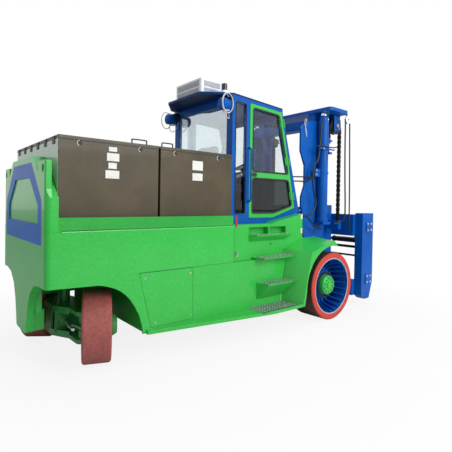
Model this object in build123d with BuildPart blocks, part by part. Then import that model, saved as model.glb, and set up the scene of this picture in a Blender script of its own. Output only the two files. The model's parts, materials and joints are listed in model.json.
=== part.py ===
from build123d import *
import math
import os

# Electric heavy-duty forklift: +X towards the mast, +Y to the driver's left, +Z up, millimetres.
# The origin is on the floor, below the middle of the machine's box.

os.makedirs("parts", exist_ok=True)

# Overall sizes, measured from the centre of the front axle
REAR_REACH = 3635
FRONT_REACH = 1285
TRUCK_WIDTH = 2284
BODY_WIDTH = 1682
AX = (REAR_REACH - FRONT_REACH) / 2
REAR_X = AX - REAR_REACH
NOSE_X = AX + FRONT_REACH
SIDE_Y = BODY_WIDTH / 2
OUTER_Y = TRUCK_WIDTH / 2

# Clearances
SEAT = 0.3
RUN = 0.05
GAP = 6

# Front wheels: press-on bands on deep dished rims
F_TYRE_R = 460
F_TYRE_W = 400
F_BAND = 74
F_RIM_R = F_TYRE_R - F_BAND
F_DISC_Y = OUTER_Y - 250
F_DISC_T = 25
F_RIM_WALL = 16
F_RIBS = 24
HUB_R = 130
HUB_REACH = 190
HUB_FLANGE_R = 175
SPINDLE_R = 80

# Rear wheels and steering; the machine is parked near full right lock
R_TYRE_R = 355
R_TYRE_W = 265
R_BAND = 76
R_RIM_R = R_TYRE_R - R_BAND
R_RIM_WALL = 16
KINGPIN_X = AX - 3184
KINGPIN_Y = 498
KINGPIN_R = 30
OFFSET = 120
STEER_RIGHT = 68.4
STEER_LEFT = 55.0
ARM = 120
CYL_X = KINGPIN_X - 86
AXLE_Z = R_TYRE_R - 15

# Body heights
SILL_Z = 307
SILL_BOTTOM_Z = 270
LEDGE_Z = 885
BELT_SEAM_Z = 1302
BELT_Z = 1430
BELT_STEP = 8
ARCH_Z = 822
WELL_FRONT_X = AX - 2720
BOX_FRONT_X = AX - 1565
BASE_FRONT_X = AX - 240
BASE_Y = SIDE_Y - 51
WALL = 25
CENTRE_Y = SIDE_Y - WALL

# Batteries
BATT_MARGIN = 67
BATT_Y = SIDE_Y - BATT_MARGIN
BATT_TOP_Z = 2150
BATT_FLOOR_Z = BELT_SEAM_Z
BATT_REAR_X = AX - 3521
BATT_SPLIT_X = AX - 2526
BATT_FRONT_X = AX - 1545
BATT_GAP = 19
LID_T = 28
LID_LIP = 4

# Cab
CAB_Y = 650
POST = 50
CAB_REAR_X = AX - 1446
CAB_ROOF_FRONT_X = AX - 539
CAB_TOE_X = AX - 155
CAB_BEND_X = AX - 700
CAB_FLOOR_Z = 1320
CAB_FLOOR_T = 60
CAB_TOE_Z = 1480
CAB_RAMP = (CAB_TOE_Z - CAB_FLOOR_Z - CAB_FLOOR_T) / (CAB_TOE_X - CAB_BEND_X)
RAMP_T = 20
DECK_T = 12
ROOF_REAR_Z = 2930
ROOF_FRONT_Z = 2880
ROOF_T = 50
DOOR_T = 40
GLASS = 6

# Mast
CH_X0 = AX + 210
CH_DEPTH = 260
CH_Y = 620
CH_FLANGE = 25
CH_LIP_Y = 480
MAST_FOOT_Z = 250
OUTER_TOP_Z = 2830
HEAD_Z = 2960
HEAD_T = 50
HEAD_X0 = AX + 220
HEAD_X1 = AX + 690
HEAD_Y = 900
AXLE_TUBE_R = 150
LIFT_X = AX + 330
LIFT_R = 75
LIFT_Y = CH_Y + LIFT_R + 5
LIFT_ROD_R = 50
LIFT_FOOT_Z = 1320
SHEAVE_X = AX + 600
SHEAVE_Y = CH_Y + 80
SHEAVE_R = 125
SHEAVE_Z = HEAD_Z - SHEAVE_R - 35
CHAIN_W = 50
CHAIN_T = 30
FRONT_RUN_X = SHEAVE_X + SHEAVE_R + CHAIN_T / 2
REAR_RUN_X = SHEAVE_X - SHEAVE_R - CHAIN_T / 2
CHAIN_FOOT_Z = 1330
CHAIN_ANCHOR_Z = 2600
TILT_PIN = (AX + 40, 1470)
TILT_ANCHOR = (AX - 950, 1010)
TILT_Y = 550
TILT_PIN_R = 25
ANCHOR_PIN_R = 20
TILT_BARREL_R = 60
TILT_BARREL_L = 565
TILT_ROD_R = 35
TILT_DRIFT = 1.8

# Carriage
CAR_X0 = AX + 900
CAR_BEAM_T = 70
CAR_Y = 1000
CAR_PLATE_T = 130
CAR_FOOT_Z = 95
CAR_TOP_Z = 1450
CAR_SIDE_Y = CH_LIP_Y - 5
CAR_SIDE_T = 35


def slab(x0, x1, y0, y1, z0, z1, mode=Mode.ADD):
    """Add a block between two corners."""
    with Locations(((x0 + x1) / 2, (y0 + y1) / 2, (z0 + z1) / 2)):
        Box(abs(x1 - x0), abs(y1 - y0), abs(z1 - z0), mode=mode)


def bar_x(radius, x0, x1, y, z, mode=Mode.ADD):
    """Add a round bar along X."""
    with Locations(((x0 + x1) / 2, y, z)):
        Cylinder(radius, abs(x1 - x0), rotation=(0, 90, 0), mode=mode)


def bar_y(radius, y0, y1, x, z, mode=Mode.ADD):
    """Add a round bar along Y."""
    with Locations((x, (y0 + y1) / 2, z)):
        Cylinder(radius, abs(y1 - y0), rotation=(90, 0, 0), mode=mode)


def bar_z(radius, z0, z1, x, y, mode=Mode.ADD):
    """Add a round bar along Z."""
    with Locations((x, y, (z0 + z1) / 2)):
        Cylinder(radius, abs(z1 - z0), mode=mode)


def side_profile(points, y0, y1, mode=Mode.ADD, corner=0):
    """Extrude an X-Z outline from Y = y0 to Y = y1."""
    with BuildSketch(Plane.XZ.offset(-y0)) as outline:
        with BuildLine():
            Polyline(*points, close=True)
        make_face()
        if corner:
            fillet(outline.vertices(), corner)
    extrude(outline.sketch, amount=y0 - y1, mode=mode)


def cross_profile(points, x0, x1, mode=Mode.ADD, corner=0):
    """Extrude a Y-Z outline from X = x0 to X = x1."""
    with BuildSketch(Plane.YZ.offset(x0)) as outline:
        with BuildLine():
            Polyline(*points, close=True)
        make_face()
        if corner:
            fillet(outline.vertices(), corner)
    extrude(outline.sketch, amount=x1 - x0, mode=mode)


def plan_profile(points, z0, z1, mode=Mode.ADD, corner=0):
    """Extrude an X-Y outline from Z = z0 to Z = z1."""
    with BuildSketch(Plane.XY.offset(z0)) as outline:
        with BuildLine():
            Polyline(*points, close=True)
        make_face()
        if corner:
            fillet(outline.vertices(), corner)
    extrude(outline.sketch, amount=z1 - z0, mode=mode)


def round_rear_corner(side, half, radius, z0, z1):
    """Round an upright corner of the rear wall."""
    x = REAR_X + radius
    y = side * (half - radius)
    with BuildSketch(Plane.XY.offset(z0)) as cutter:
        with Locations((x - (radius + 1) / 2, y + side * (radius + 1) / 2)):
            Rectangle(radius + 1, radius + 1)
        with Locations((x, y)):
            Circle(radius, mode=Mode.SUBTRACT)
    extrude(cutter.sketch, amount=z1 - z0, mode=Mode.SUBTRACT)


def turn(centre, axis, profile, mode=Mode.ADD):
    """Revolve a profile of (along the axis, radius) points about a level axis."""
    outward = Vector(*axis)
    side = outward.cross(Vector(0, 0, 1))
    plane = Plane(origin=centre, x_dir=outward, z_dir=side)
    with BuildSketch(plane) as section:
        with BuildLine():
            Polyline(*profile, close=True)
        make_face()
    revolve(section.sketch, axis=Axis(centre, axis), mode=mode)


def save(piece, label):
    """Name a finished piece and write it."""
    piece.part.label = label
    export_step(piece.part, f"parts/{label}.step")


def steer_dir(side, angle):
    """Outward direction of a rear hub: side is -1 on the right and 1 on the left."""
    a = math.radians(angle)
    return (-side * math.sin(a), side * math.cos(a), 0)


# Counterweight: rear wall with tail skirt, pentagon riser and lifting lugs
REAR_CORNER_R = 50
TAIL_T = 70
REAR_WALL_T = 105
BELT_Y = SIDE_Y - BELT_STEP
SHOULDER_Z = 1600
RISER_TOP_Z = 1980
RISER_TOP_Y = 410
LUG_T = 52
LUG_TOP_Z = 1920
LUG_Y1 = BELT_Y - 21
LUG_Y0 = LUG_Y1 - 222
LUG_EYE = (LUG_Y1 - 70, LUG_TOP_Z - 65)
LUG_EYE_R = 36
TAIL_BLOCKS = ((100, 185, 300, 500), (55, 270, 495, LEDGE_Z))
TRIM_T = 12
TRIM_R = 22
TRIM = ((-360, 1925), (-712, 1575), (-712, 1185), (712, 1185), (712, 1575), (360, 1925))
TRIM_WINDOW = ((-292, 1785), (-592, 1530), (-588, 1366), (588, 1366), (592, 1530), (292, 1785))
REAR_OUTLINE = ((SIDE_Y, ARCH_Z + 1), (640, ARCH_Z + 3), (480, 800), (330, 700), (255, 560), (215, 420),
                (190, 300), (160, 285))
with BuildPart() as counterweight:
    left = list(REAR_OUTLINE)
    right = [(-y, z) for y, z in reversed(left)]
    cross_profile(left + right + [(-SIDE_Y, BELT_SEAM_Z), (SIDE_Y, BELT_SEAM_Z)], REAR_X, REAR_X + TAIL_T)
    slab(REAR_X + TAIL_T - 1, REAR_X + REAR_WALL_T, SEAT - CENTRE_Y, CENTRE_Y - SEAT, LEDGE_Z, SHOULDER_Z)
    cross_profile(((-BELT_Y, BELT_SEAM_Z - 1), (-BELT_Y, SHOULDER_Z), (-RISER_TOP_Y, RISER_TOP_Z),
                   (RISER_TOP_Y, RISER_TOP_Z), (BELT_Y, SHOULDER_Z), (BELT_Y, BELT_SEAM_Z - 1)),
                  REAR_X, REAR_X + TAIL_T)
    cross_profile(((-BELT_Y, BELT_SEAM_Z + SEAT), (-BELT_Y, SHOULDER_Z), (-RISER_TOP_Y, RISER_TOP_Z),
                   (RISER_TOP_Y, RISER_TOP_Z), (BELT_Y, SHOULDER_Z), (BELT_Y, BELT_SEAM_Z + SEAT)),
                  REAR_X + TAIL_T - 1, REAR_X + REAR_WALL_T)
    for block_t, half, z0, z1 in TAIL_BLOCKS:
        slab(REAR_X + TAIL_T - 1, REAR_X + TAIL_T + block_t, -half, half, z0, z1)
    for side in (-1, 1):
        lug = ((side * BELT_Y, SHOULDER_Z - 5), (side * LUG_Y1, SHOULDER_Z + 75),
               (side * LUG_Y1, LUG_TOP_Z - 12), (side * (LUG_Y1 - 12), LUG_TOP_Z),
               (side * LUG_Y0, LUG_TOP_Z), (side * LUG_Y0, SHOULDER_Z - 5))
        cross_profile(lug, REAR_X, REAR_X + LUG_T)
        bar_x(LUG_EYE_R, REAR_X - 1, REAR_X + LUG_T + 1, side * LUG_EYE[0], LUG_EYE[1], mode=Mode.SUBTRACT)
        round_rear_corner(side, SIDE_Y, REAR_CORNER_R, ARCH_Z - 25, BELT_SEAM_Z)
        round_rear_corner(side, BELT_Y, REAR_CORNER_R, BELT_SEAM_Z, LUG_TOP_Z + 1)
    cross_profile(TRIM, REAR_X - 1, REAR_X + TRIM_T, mode=Mode.SUBTRACT, corner=TRIM_R)
save(counterweight, "counterweight")

# Trim frame let into the rear face
with BuildPart() as rear_trim:
    with BuildSketch(Plane.YZ.offset(REAR_X)) as outline:
        with BuildLine():
            Polyline(*TRIM, close=True)
        make_face()
        fillet(outline.vertices(), TRIM_R)
        offset(amount=-SEAT)
    extrude(outline.sketch, amount=TRIM_T - SEAT)
    cross_profile(TRIM_WINDOW, REAR_X - 1, REAR_X + TRIM_T + 1, mode=Mode.SUBTRACT, corner=12)
save(rear_trim, "rear_trim")

# Side panels: belt, rear arch and the lower wall that runs forward to the fender
ARCH = ((-3530, 823), (-3180, 811), (-3110, 796), (-3023, 763), (-2972, 734), (-2921, 695), (-2869, 639),
        (-2817, 563), (-2772, 473), (-2737, 358), (-2723, SILL_BOTTOM_Z + 6))
LOWER_END_X = AX - 640
PANEL_X = REAR_X + TAIL_T + SEAT
with BuildPart() as side_panels:
    outline = [(PANEL_X, BELT_SEAM_Z), (PANEL_X, ARCH_Z + 1)]
    outline += [(AX + x, z) for x, z in ARCH]
    outline += [(LOWER_END_X - 90, SILL_BOTTOM_Z + 6), (LOWER_END_X, LEDGE_Z - 1)]
    outline += [(BOX_FRONT_X, LEDGE_Z - 1), (BOX_FRONT_X, BELT_SEAM_Z)]
    side_profile(outline, -SIDE_Y, -SIDE_Y + WALL)
    mirror(about=Plane.XZ)
save(side_panels, "side_panels")

# Battery bay: closed upper body with a shallow tray that holds the two battery boxes
TRAY_Y = BATT_Y + 16
with BuildPart() as battery_bay:
    slab(REAR_X + REAR_WALL_T, BOX_FRONT_X, -CENTRE_Y, CENTRE_Y, LEDGE_Z, BELT_SEAM_Z + 10)
    slab(REAR_X + REAR_WALL_T, BOX_FRONT_X, -BELT_Y, BELT_Y, BELT_SEAM_Z, BELT_Z)
    slab(BATT_REAR_X - 4, BATT_FRONT_X + 4, -TRAY_Y, TRAY_Y, BATT_FLOOR_Z, BELT_Z + 1, mode=Mode.SUBTRACT)
save(battery_bay, "battery_bay")

# Chassis: closed centre body between the wheel well and the drive axle, with the tilt cylinders' anchor ears
NOSE_Y = CH_Y - 60
with BuildPart() as chassis:
    side_profile(((WELL_FRONT_X, SILL_BOTTOM_Z + 20), (WELL_FRONT_X, LEDGE_Z), (LOWER_END_X, LEDGE_Z),
                  (LOWER_END_X - 90, SILL_BOTTOM_Z + 20)), -CENTRE_Y, CENTRE_Y)
    side_profile(((LOWER_END_X - 120, 330), (LOWER_END_X - 60, LEDGE_Z), (AX - 40, LEDGE_Z), (AX - 40, 660),
                  (AX - 100, 330)), -NOSE_Y, NOSE_Y)
    slab(REAR_X + TAIL_T + TAIL_BLOCKS[1][0], WELL_FRONT_X + 1, 150, 180, 570, LEDGE_Z)
    bar_y(AXLE_TUBE_R + SEAT, -OUTER_Y, OUTER_Y, AX, F_TYRE_R, mode=Mode.SUBTRACT)
    for y in (-TILT_Y, TILT_Y):
        for ear in (y - 54, y + 34):
            slab(TILT_ANCHOR[0] - 60, TILT_ANCHOR[0] + 45, ear, ear + 20, LEDGE_Z - 1, TILT_ANCHOR[1] + 45)
        bar_y(ANCHOR_PIN_R, y - 54, y + 54, TILT_ANCHOR[0], TILT_ANCHOR[1])
save(chassis, "chassis")

# Running boards: sills that flare out to the fenders
BOARD_REAR_W = 34
with BuildPart() as running_boards:
    plan_profile(((AX - 2690, -SIDE_Y - 1), (AX - 2690, -SIDE_Y - BOARD_REAR_W), (AX - 1150, -OUTER_Y),
                  (AX - 634, -OUTER_Y), (AX - 745, -SIDE_Y - 1)), SILL_BOTTOM_Z, SILL_Z)
    mirror(about=Plane.XZ)
save(running_boards, "running_boards")

# Steps: folded brackets that narrow to the wall below a level tread
# columns: rear X, front X at the wall, reach from the wall, wall Y, top Z, bottom Z
STEPS = (
    (-1275, -606, 110, BASE_Y, 1190, 1105),
    (-1225, -660, 195, BASE_Y, 912, 890),
    (-1175, -690, 179, SIDE_Y, 592, 385),
)
TREAD_T = 8
with BuildPart() as steps:
    for x0, x1, reach, y_in, z1, z0 in STEPS:
        y_out = y_in + reach
        with BuildSketch(Plane.XY.offset(z1 - TREAD_T)):
            with BuildLine():
                Polyline((AX + x0, -y_in), (AX + x0 + 40, -y_out), (AX + x1 + 40, -y_out), (AX + x1, -y_in),
                         close=True)
            make_face()
        extrude(amount=TREAD_T)
        with BuildSketch(Plane.XZ.offset(y_in)):
            with BuildLine():
                Polyline((AX + x0, z1 - TREAD_T), (AX + x1, z1 - TREAD_T), (AX + x1 - 0.18 * (z1 - z0), z0),
                         (AX + x0 + 5, z0), close=True)
            make_face()
        with BuildSketch(Plane.XZ.offset(y_out - 10)):
            with BuildLine():
                Polyline((AX + x0 + 42, z1 - TREAD_T), (AX + x1 + 36, z1 - TREAD_T), (AX + x1 + 30, z1 - 18),
                         (AX + x0 + 46, z1 - 18), close=True)
            make_face()
        loft(ruled=True)
    mirror(about=Plane.XZ)
save(steps, "steps")

# Fenders over the front wheels
FENDER_ARCH_R = F_TYRE_R + 95
FENDER_OUT = ((-634, SILL_BOTTOM_Z), (-468, 954), (-198, 1028), (30, 1077), (106, 1010), (106, 460),
              (-300, SILL_BOTTOM_Z))
FENDER_IN = ((-745, SILL_BOTTOM_Z), (-640, 985), (-242, 1108), (20, 1116), (60, 1040), (60, 460),
             (-300, SILL_BOTTOM_Z))
with BuildPart() as fenders:
    for points, y in ((FENDER_OUT, OUTER_Y), (FENDER_IN, BASE_Y)):
        with BuildSketch(Plane.XZ.offset(y)):
            with BuildLine():
                Polyline(*[(AX + x, z) for x, z in points], close=True)
            make_face()
    loft(ruled=True)
    bar_y(FENDER_ARCH_R, -OUTER_Y - 5, -BASE_Y + 5, AX, F_TYRE_R, mode=Mode.SUBTRACT)
    side_profile(((AX - FENDER_ARCH_R, F_TYRE_R), (AX - 592, SILL_BOTTOM_Z - 5), (AX, SILL_BOTTOM_Z - 5),
                  (AX, F_TYRE_R)), -OUTER_Y - 5, -BASE_Y + 5, mode=Mode.SUBTRACT)
    slab(AX - 900, LOWER_END_X + 5, -SIDE_Y - SEAT, -BASE_Y + 5, SILL_BOTTOM_Z - 5, LEDGE_Z + 5,
         mode=Mode.SUBTRACT)
    mirror(about=Plane.XZ)
save(fenders, "fenders")

# Cab base: walls below the cab floor, with hand-hold recesses and a front opening for the tilt cylinders
BASE_WALL = 16
RAMP_RUN_IN = 160
POCKETS = ((-1272, -930), (-900, -591))
POCKET_Z = (1190 + SEAT, 1280)
POCKET_DEPTH = 75
RAMP_FOOT_Z = CAB_FLOOR_Z + CAB_FLOOR_T - RAMP_T
BASE_NOSE_Z = RAMP_FOOT_Z + CAB_RAMP * (BASE_FRONT_X - CAB_BEND_X)
with BuildPart() as cab_base:
    side_profile(((BOX_FRONT_X, LEDGE_Z), (BOX_FRONT_X, CAB_FLOOR_Z), (CAB_BEND_X - RAMP_RUN_IN, CAB_FLOOR_Z),
                  (CAB_BEND_X, RAMP_FOOT_Z), (BASE_FRONT_X, BASE_NOSE_Z), (BASE_FRONT_X, LEDGE_Z)),
                 -BASE_Y, BASE_Y)
    deck = CAB_FLOOR_Z - DECK_T
    side_profile(((BOX_FRONT_X + 20, LEDGE_Z - 1), (BOX_FRONT_X + 20, deck), (CAB_BEND_X - RAMP_RUN_IN, deck),
                  (CAB_BEND_X, RAMP_FOOT_Z - DECK_T), (BASE_FRONT_X - 20, BASE_NOSE_Z - DECK_T - 4),
                  (BASE_FRONT_X - 20, LEDGE_Z - 1)), -BASE_Y + BASE_WALL, BASE_Y - BASE_WALL,
                 mode=Mode.SUBTRACT)
    slab(BASE_FRONT_X - 60, BASE_FRONT_X + 5, -TILT_Y - 110, TILT_Y + 110, POCKET_Z[0] - 10,
         BASE_NOSE_Z - DECK_T - 10, mode=Mode.SUBTRACT)
    slab(BOX_FRONT_X - 1, BATT_FRONT_X + 5, -BATT_Y - 5, BATT_Y + 5, BATT_FLOOR_Z - 5, CAB_FLOOR_Z + 5,
         mode=Mode.SUBTRACT)
    for side in (-1, 1):
        slab(AX + POCKETS[0][0] - 12, AX + POCKETS[1][1] + 12, side * (BASE_Y - BASE_WALL + 1),
             side * (BASE_Y - POCKET_DEPTH - 10), POCKET_Z[0] - 8, POCKET_Z[1] + 12)
        for x0, x1 in POCKETS:
            slab(AX + x0, AX + x1, side * (BASE_Y + 5), side * (BASE_Y - POCKET_DEPTH), *POCKET_Z,
                 mode=Mode.SUBTRACT)
save(cab_base, "cab_base")

# Cab floor
FLOOR_TOP_Z = CAB_FLOOR_Z + CAB_FLOOR_T
FLOOR_OUT = ((CAB_REAR_X, CAB_FLOOR_Z), (CAB_REAR_X, FLOOR_TOP_Z), (CAB_BEND_X, FLOOR_TOP_Z),
             (CAB_TOE_X, CAB_TOE_Z), (CAB_TOE_X, CAB_TOE_Z - RAMP_T), (CAB_BEND_X, RAMP_FOOT_Z),
             (CAB_BEND_X - RAMP_RUN_IN, CAB_FLOOR_Z))
with BuildPart() as cab_floor:
    side_profile(FLOOR_OUT, -CAB_Y, CAB_Y)
save(cab_floor, "cab_floor")

# Cab side frames: one plate each with quarter window and door opening
DOOR = ((-1145, 2858), (-555, 2830), (-258, 1524), (-698, 1392), (-1145, 1392))
SIDE_OUT = ((CAB_REAR_X, FLOOR_TOP_Z), (CAB_REAR_X, ROOF_REAR_Z - ROOF_T),
            (CAB_ROOF_FRONT_X, ROOF_FRONT_Z - ROOF_T), (CAB_TOE_X, CAB_TOE_Z), (CAB_BEND_X, FLOOR_TOP_Z))
DOOR_XZ = [(AX + x, z) for x, z in DOOR]
with BuildPart() as cab_side_frames:
    side_profile(SIDE_OUT, -CAB_Y, -CAB_Y + POST)
    side_profile(((AX - 1390, 1450), (AX - 1390, 2840), (AX - 1215, 2830), (AX - 1215, 1450)), -CAB_Y - 1,
                 -CAB_Y + POST + 1, mode=Mode.SUBTRACT)
    with BuildSketch(Plane.XZ.offset(CAB_Y + 1)):
        with BuildLine():
            Polyline(*DOOR_XZ, close=True)
        make_face()
        offset(amount=GAP)
    extrude(amount=-POST - 2, mode=Mode.SUBTRACT)
    mirror(about=Plane.XZ)
save(cab_side_frames, "cab_side_frames")

# Cab rear frame
INNER_Y = CAB_Y - POST
with BuildPart() as cab_rear_frame:
    drop = POST * (ROOF_REAR_Z - ROOF_FRONT_Z) / (CAB_ROOF_FRONT_X - CAB_REAR_X)
    side_profile(((CAB_REAR_X, FLOOR_TOP_Z), (CAB_REAR_X, ROOF_REAR_Z - ROOF_T),
                  (CAB_REAR_X + POST, ROOF_REAR_Z - ROOF_T - drop), (CAB_REAR_X + POST, FLOOR_TOP_Z)),
                 -INNER_Y, INNER_Y)
    slab(CAB_REAR_X - 1, CAB_REAR_X + POST + 1, -INNER_Y + 60, INNER_Y - 60, 1480, 2800, mode=Mode.SUBTRACT)
save(cab_rear_frame, "cab_rear_frame")

# Cab roof with rear overhang
with BuildPart() as cab_roof:
    side_profile(((CAB_REAR_X, ROOF_REAR_Z - ROOF_T), (CAB_REAR_X, ROOF_REAR_Z),
                  (CAB_ROOF_FRONT_X, ROOF_FRONT_Z), (CAB_ROOF_FRONT_X, ROOF_FRONT_Z - ROOF_T)), -CAB_Y, CAB_Y)
    plan_profile(((CAB_REAR_X, -CAB_Y), (AX - 1560, -CAB_Y + 60), (AX - 1780, -420), (AX - 1780, 300),
                  (AX - 1560, CAB_Y - 60), (CAB_REAR_X, CAB_Y)), ROOF_REAR_Z - 30, ROOF_REAR_Z)
save(cab_roof, "cab_roof")

# Cab front frame in the sloped windscreen plane
SLOPE = Vector(CAB_TOE_X - CAB_ROOF_FRONT_X, 0, CAB_TOE_Z - ROOF_FRONT_Z + ROOF_T)
SLOPE_L = SLOPE.length
FRONT_MID = Vector((CAB_TOE_X + CAB_ROOF_FRONT_X) / 2, 0, (CAB_TOE_Z + ROOF_FRONT_Z - ROOF_T) / 2)
FRONT_PLANE = Plane(origin=FRONT_MID, x_dir=(0, 1, 0), z_dir=Vector(0, 1, 0).cross(SLOPE.normalized() * -1))
with BuildPart() as cab_front_frame:
    with BuildSketch(FRONT_PLANE):
        Rectangle(2 * INNER_Y, SLOPE_L)
        Rectangle(2 * INNER_Y - 100, SLOPE_L - 160, mode=Mode.SUBTRACT)
    extrude(amount=-POST)
    slab(CAB_REAR_X, NOSE_X, -CAB_Y, CAB_Y, ROOF_FRONT_Z - ROOF_T, ROOF_REAR_Z + 200, mode=Mode.SUBTRACT)
    side_profile(FLOOR_OUT, -CAB_Y, CAB_Y, mode=Mode.SUBTRACT)
save(cab_front_frame, "cab_front_frame")

# Fixed cab glass: rear window, windscreen and quarter windows
with BuildPart() as cab_glass:
    slab(CAB_REAR_X + 22, CAB_REAR_X + 22 + GLASS, -INNER_Y + 60 + SEAT, INNER_Y - 60 - SEAT, 1480 + SEAT,
         2800 - SEAT)
    with BuildSketch(FRONT_PLANE.offset(-20)):
        Rectangle(2 * INNER_Y - 100 - 2 * SEAT, SLOPE_L - 160 - 2 * SEAT)
    extrude(amount=-GLASS)
    for side in (-1, 1):
        y = side * (CAB_Y - POST / 2)
        side_profile(((AX - 1390 + SEAT, 1450 + SEAT), (AX - 1390 + SEAT, 2839), (AX - 1215 - SEAT, 2829),
                      (AX - 1215 - SEAT, 1450 + SEAT)), y - GLASS / 2, y + GLASS / 2)
save(cab_glass, "cab_glass")

# Doors, hung on their slanted front edge
UPPER_LIGHT = ((-1095, 2810), (-600, 2785), (-398, 1990), (-1095, 1990))
LOWER_LIGHT = ((-1095, 1910), (-395, 1910), (-310, 1552), (-690, 1450), (-1095, 1450))
LIGHT_R = 35
HINGE_OUT = 12
HINGE_R = 10
HINGE_HALF = 55
HINGE_LEAF = 70
HINGE_FOOT = Vector(AX + DOOR[2][0], 0, DOOR[2][1])
HINGE_DIR = Vector(DOOR[1][0] - DOOR[2][0], 0, DOOR[1][1] - DOOR[2][1]).normalized()
HINGES = (170, 660, 1190)
for side, word in ((-1, "right"), (1, "left")):
    y_out = side * CAB_Y
    y_in = side * (CAB_Y - DOOR_T)
    with BuildPart() as door:
        side_profile(DOOR_XZ, y_out, y_in)
        for light in (UPPER_LIGHT, LOWER_LIGHT):
            side_profile([(AX + x, z) for x, z in light], y_out + side, y_in - side, mode=Mode.SUBTRACT,
                         corner=LIGHT_R)
        for height in HINGES:
            low = HINGE_FOOT + HINGE_DIR * (height - HINGE_HALF) + Vector(0, y_out + side * HINGE_OUT, 0)
            high = low + HINGE_DIR * 2 * HINGE_HALF
            with BuildSketch(Plane(origin=low, x_dir=(0, 1, 0), z_dir=HINGE_DIR)):
                Circle(HINGE_R)
            extrude(amount=2 * HINGE_HALF)
            side_profile(((low.X, low.Z), (high.X, high.Z), (high.X - HINGE_LEAF, high.Z),
                          (low.X - HINGE_LEAF, low.Z)), y_out - side, y_out + side * 7)
    save(door, f"door_{word}")
    with BuildPart() as door_glass:
        for light in (UPPER_LIGHT, LOWER_LIGHT):
            with BuildSketch(Plane.XZ.offset(-side * (CAB_Y - 17))) as pane:
                with BuildLine():
                    Polyline(*[(AX + x, z) for x, z in light], close=True)
                make_face()
                fillet(pane.vertices(), LIGHT_R)
                offset(amount=-SEAT)
            extrude(amount=side * GLASS)
    save(door_glass, f"door_{word}_glass")

# Batteries with their lids
BATTERIES = (
    ("rear", BATT_REAR_X, BATT_SPLIT_X - BATT_GAP / 2),
    ("front", BATT_SPLIT_X + BATT_GAP / 2, BATT_FRONT_X),
)
for word, x0, x1 in BATTERIES:
    with BuildPart() as battery:
        case_y = BATT_Y - LID_LIP
        slab(x0 + LID_LIP, x1 - LID_LIP, -case_y, case_y, BATT_FLOOR_Z, BATT_TOP_Z - LID_T)
        slab(x0, x1, -BATT_Y, BATT_Y, BATT_TOP_Z - LID_T, BATT_TOP_Z)
    save(battery, f"battery_{word}")

# Driver's seat
SEAT_X = AX - 1060
with BuildPart() as seat:
    slab(SEAT_X - 200, SEAT_X + 200, -180, 180, FLOOR_TOP_Z, 1720)
    slab(SEAT_X - 240, SEAT_X + 260, -255, 255, 1720, 1850)
    side_profile(((SEAT_X - 250, 1850), (SEAT_X - 130, 1850), (SEAT_X - 200, 2420), (SEAT_X - 290, 2420)),
                 -240, 240)
save(seat, "seat")

# Steering console and wheel
CONSOLE_X = AX - 560
with BuildPart() as steering_console:
    foot = [(CONSOLE_X + x, FLOOR_TOP_Z + CAB_RAMP * (CONSOLE_X + x - CAB_BEND_X)) for x in (-70, 130)]
    side_profile((foot[0], (CONSOLE_X - 90, 1960), (CONSOLE_X + 70, 2020), foot[1]), -150, 150)
    wheel_plane = Plane(origin=(CONSOLE_X - 110, 0, 2080), x_dir=(0, 1, 0), z_dir=(-0.5, 0, 0.866))
    with BuildSketch(wheel_plane):
        Circle(190)
        Circle(160, mode=Mode.SUBTRACT)
        Rectangle(340, 40)
        Circle(50)
    extrude(amount=26)
    with BuildSketch(wheel_plane):
        Circle(30)
    extrude(amount=-150)
save(steering_console, "steering_console")

# Air conditioner on the roof
with BuildPart() as ac_unit:
    slab(AX - 1735, AX - 1386, -380, 190, ROOF_REAR_Z, ROOF_REAR_Z + 190)
    fillet(ac_unit.edges().filter_by(Axis.Z), 25)
save(ac_unit, "ac_unit")

# Beacon on the rear right corner of the roof
BEACON_Y = CAB_Y - 90
with BuildPart() as beacon:
    bar_z(42, ROOF_REAR_Z, ROOF_REAR_Z + 20, AX - 1510, -BEACON_Y)
    bar_z(36, ROOF_REAR_Z + 20, ROOF_REAR_Z + 120, AX - 1510, -BEACON_Y)
    fillet(beacon.faces().sort_by(Axis.Z)[-1].edges(), 18)
save(beacon, "beacon")

# Work lights at the rear corners of the cab
LAMP_Y = CAB_Y - 35
LAMP_Z = 2780
LAMP_R = 75
with BuildPart() as work_lights:
    for y in (-LAMP_Y, LAMP_Y):
        slab(CAB_REAR_X - 40, CAB_REAR_X, y - 25, y + 25, LAMP_Z - 20, LAMP_Z + 30)
        bar_x(LAMP_R, CAB_REAR_X - 150, CAB_REAR_X - 40, y, LAMP_Z)
save(work_lights, "work_lights")

# Grab handles on the middle posts
GRAB_X = AX - 1175
GRAB_Z = (1600, 2280)
GRAB_R = 12
with BuildPart() as grab_handles:
    for side in (-1, 1):
        y0 = side * CAB_Y
        y1 = side * (CAB_Y + 60)
        with BuildLine() as route:
            FilletPolyline((GRAB_X, y0, GRAB_Z[0]), (GRAB_X, y1, GRAB_Z[0]), (GRAB_X, y1, GRAB_Z[1]),
                           (GRAB_X, y0, GRAB_Z[1]), radius=40)
        with BuildSketch(Plane(origin=(GRAB_X, y0, GRAB_Z[0]), z_dir=(0, side, 0))) as grip:
            Circle(GRAB_R)
        sweep(grip.sketch, path=route.line)
save(grab_handles, "grab_handles")

# Drive axle
BRAKE_Y = 705
BRAKE_R = 200
with BuildPart() as drive_axle:
    bar_y(AXLE_TUBE_R, -BRAKE_Y, BRAKE_Y, AX, F_TYRE_R)
    for side in (-1, 1):
        bar_y(BRAKE_R, side * BRAKE_Y, side * (F_DISC_Y - F_DISC_T - 12), AX, F_TYRE_R)
        bar_y(SPINDLE_R, side * BRAKE_Y, side * (F_DISC_Y + 100), AX, F_TYRE_R)
save(drive_axle, "drive_axle")

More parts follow.
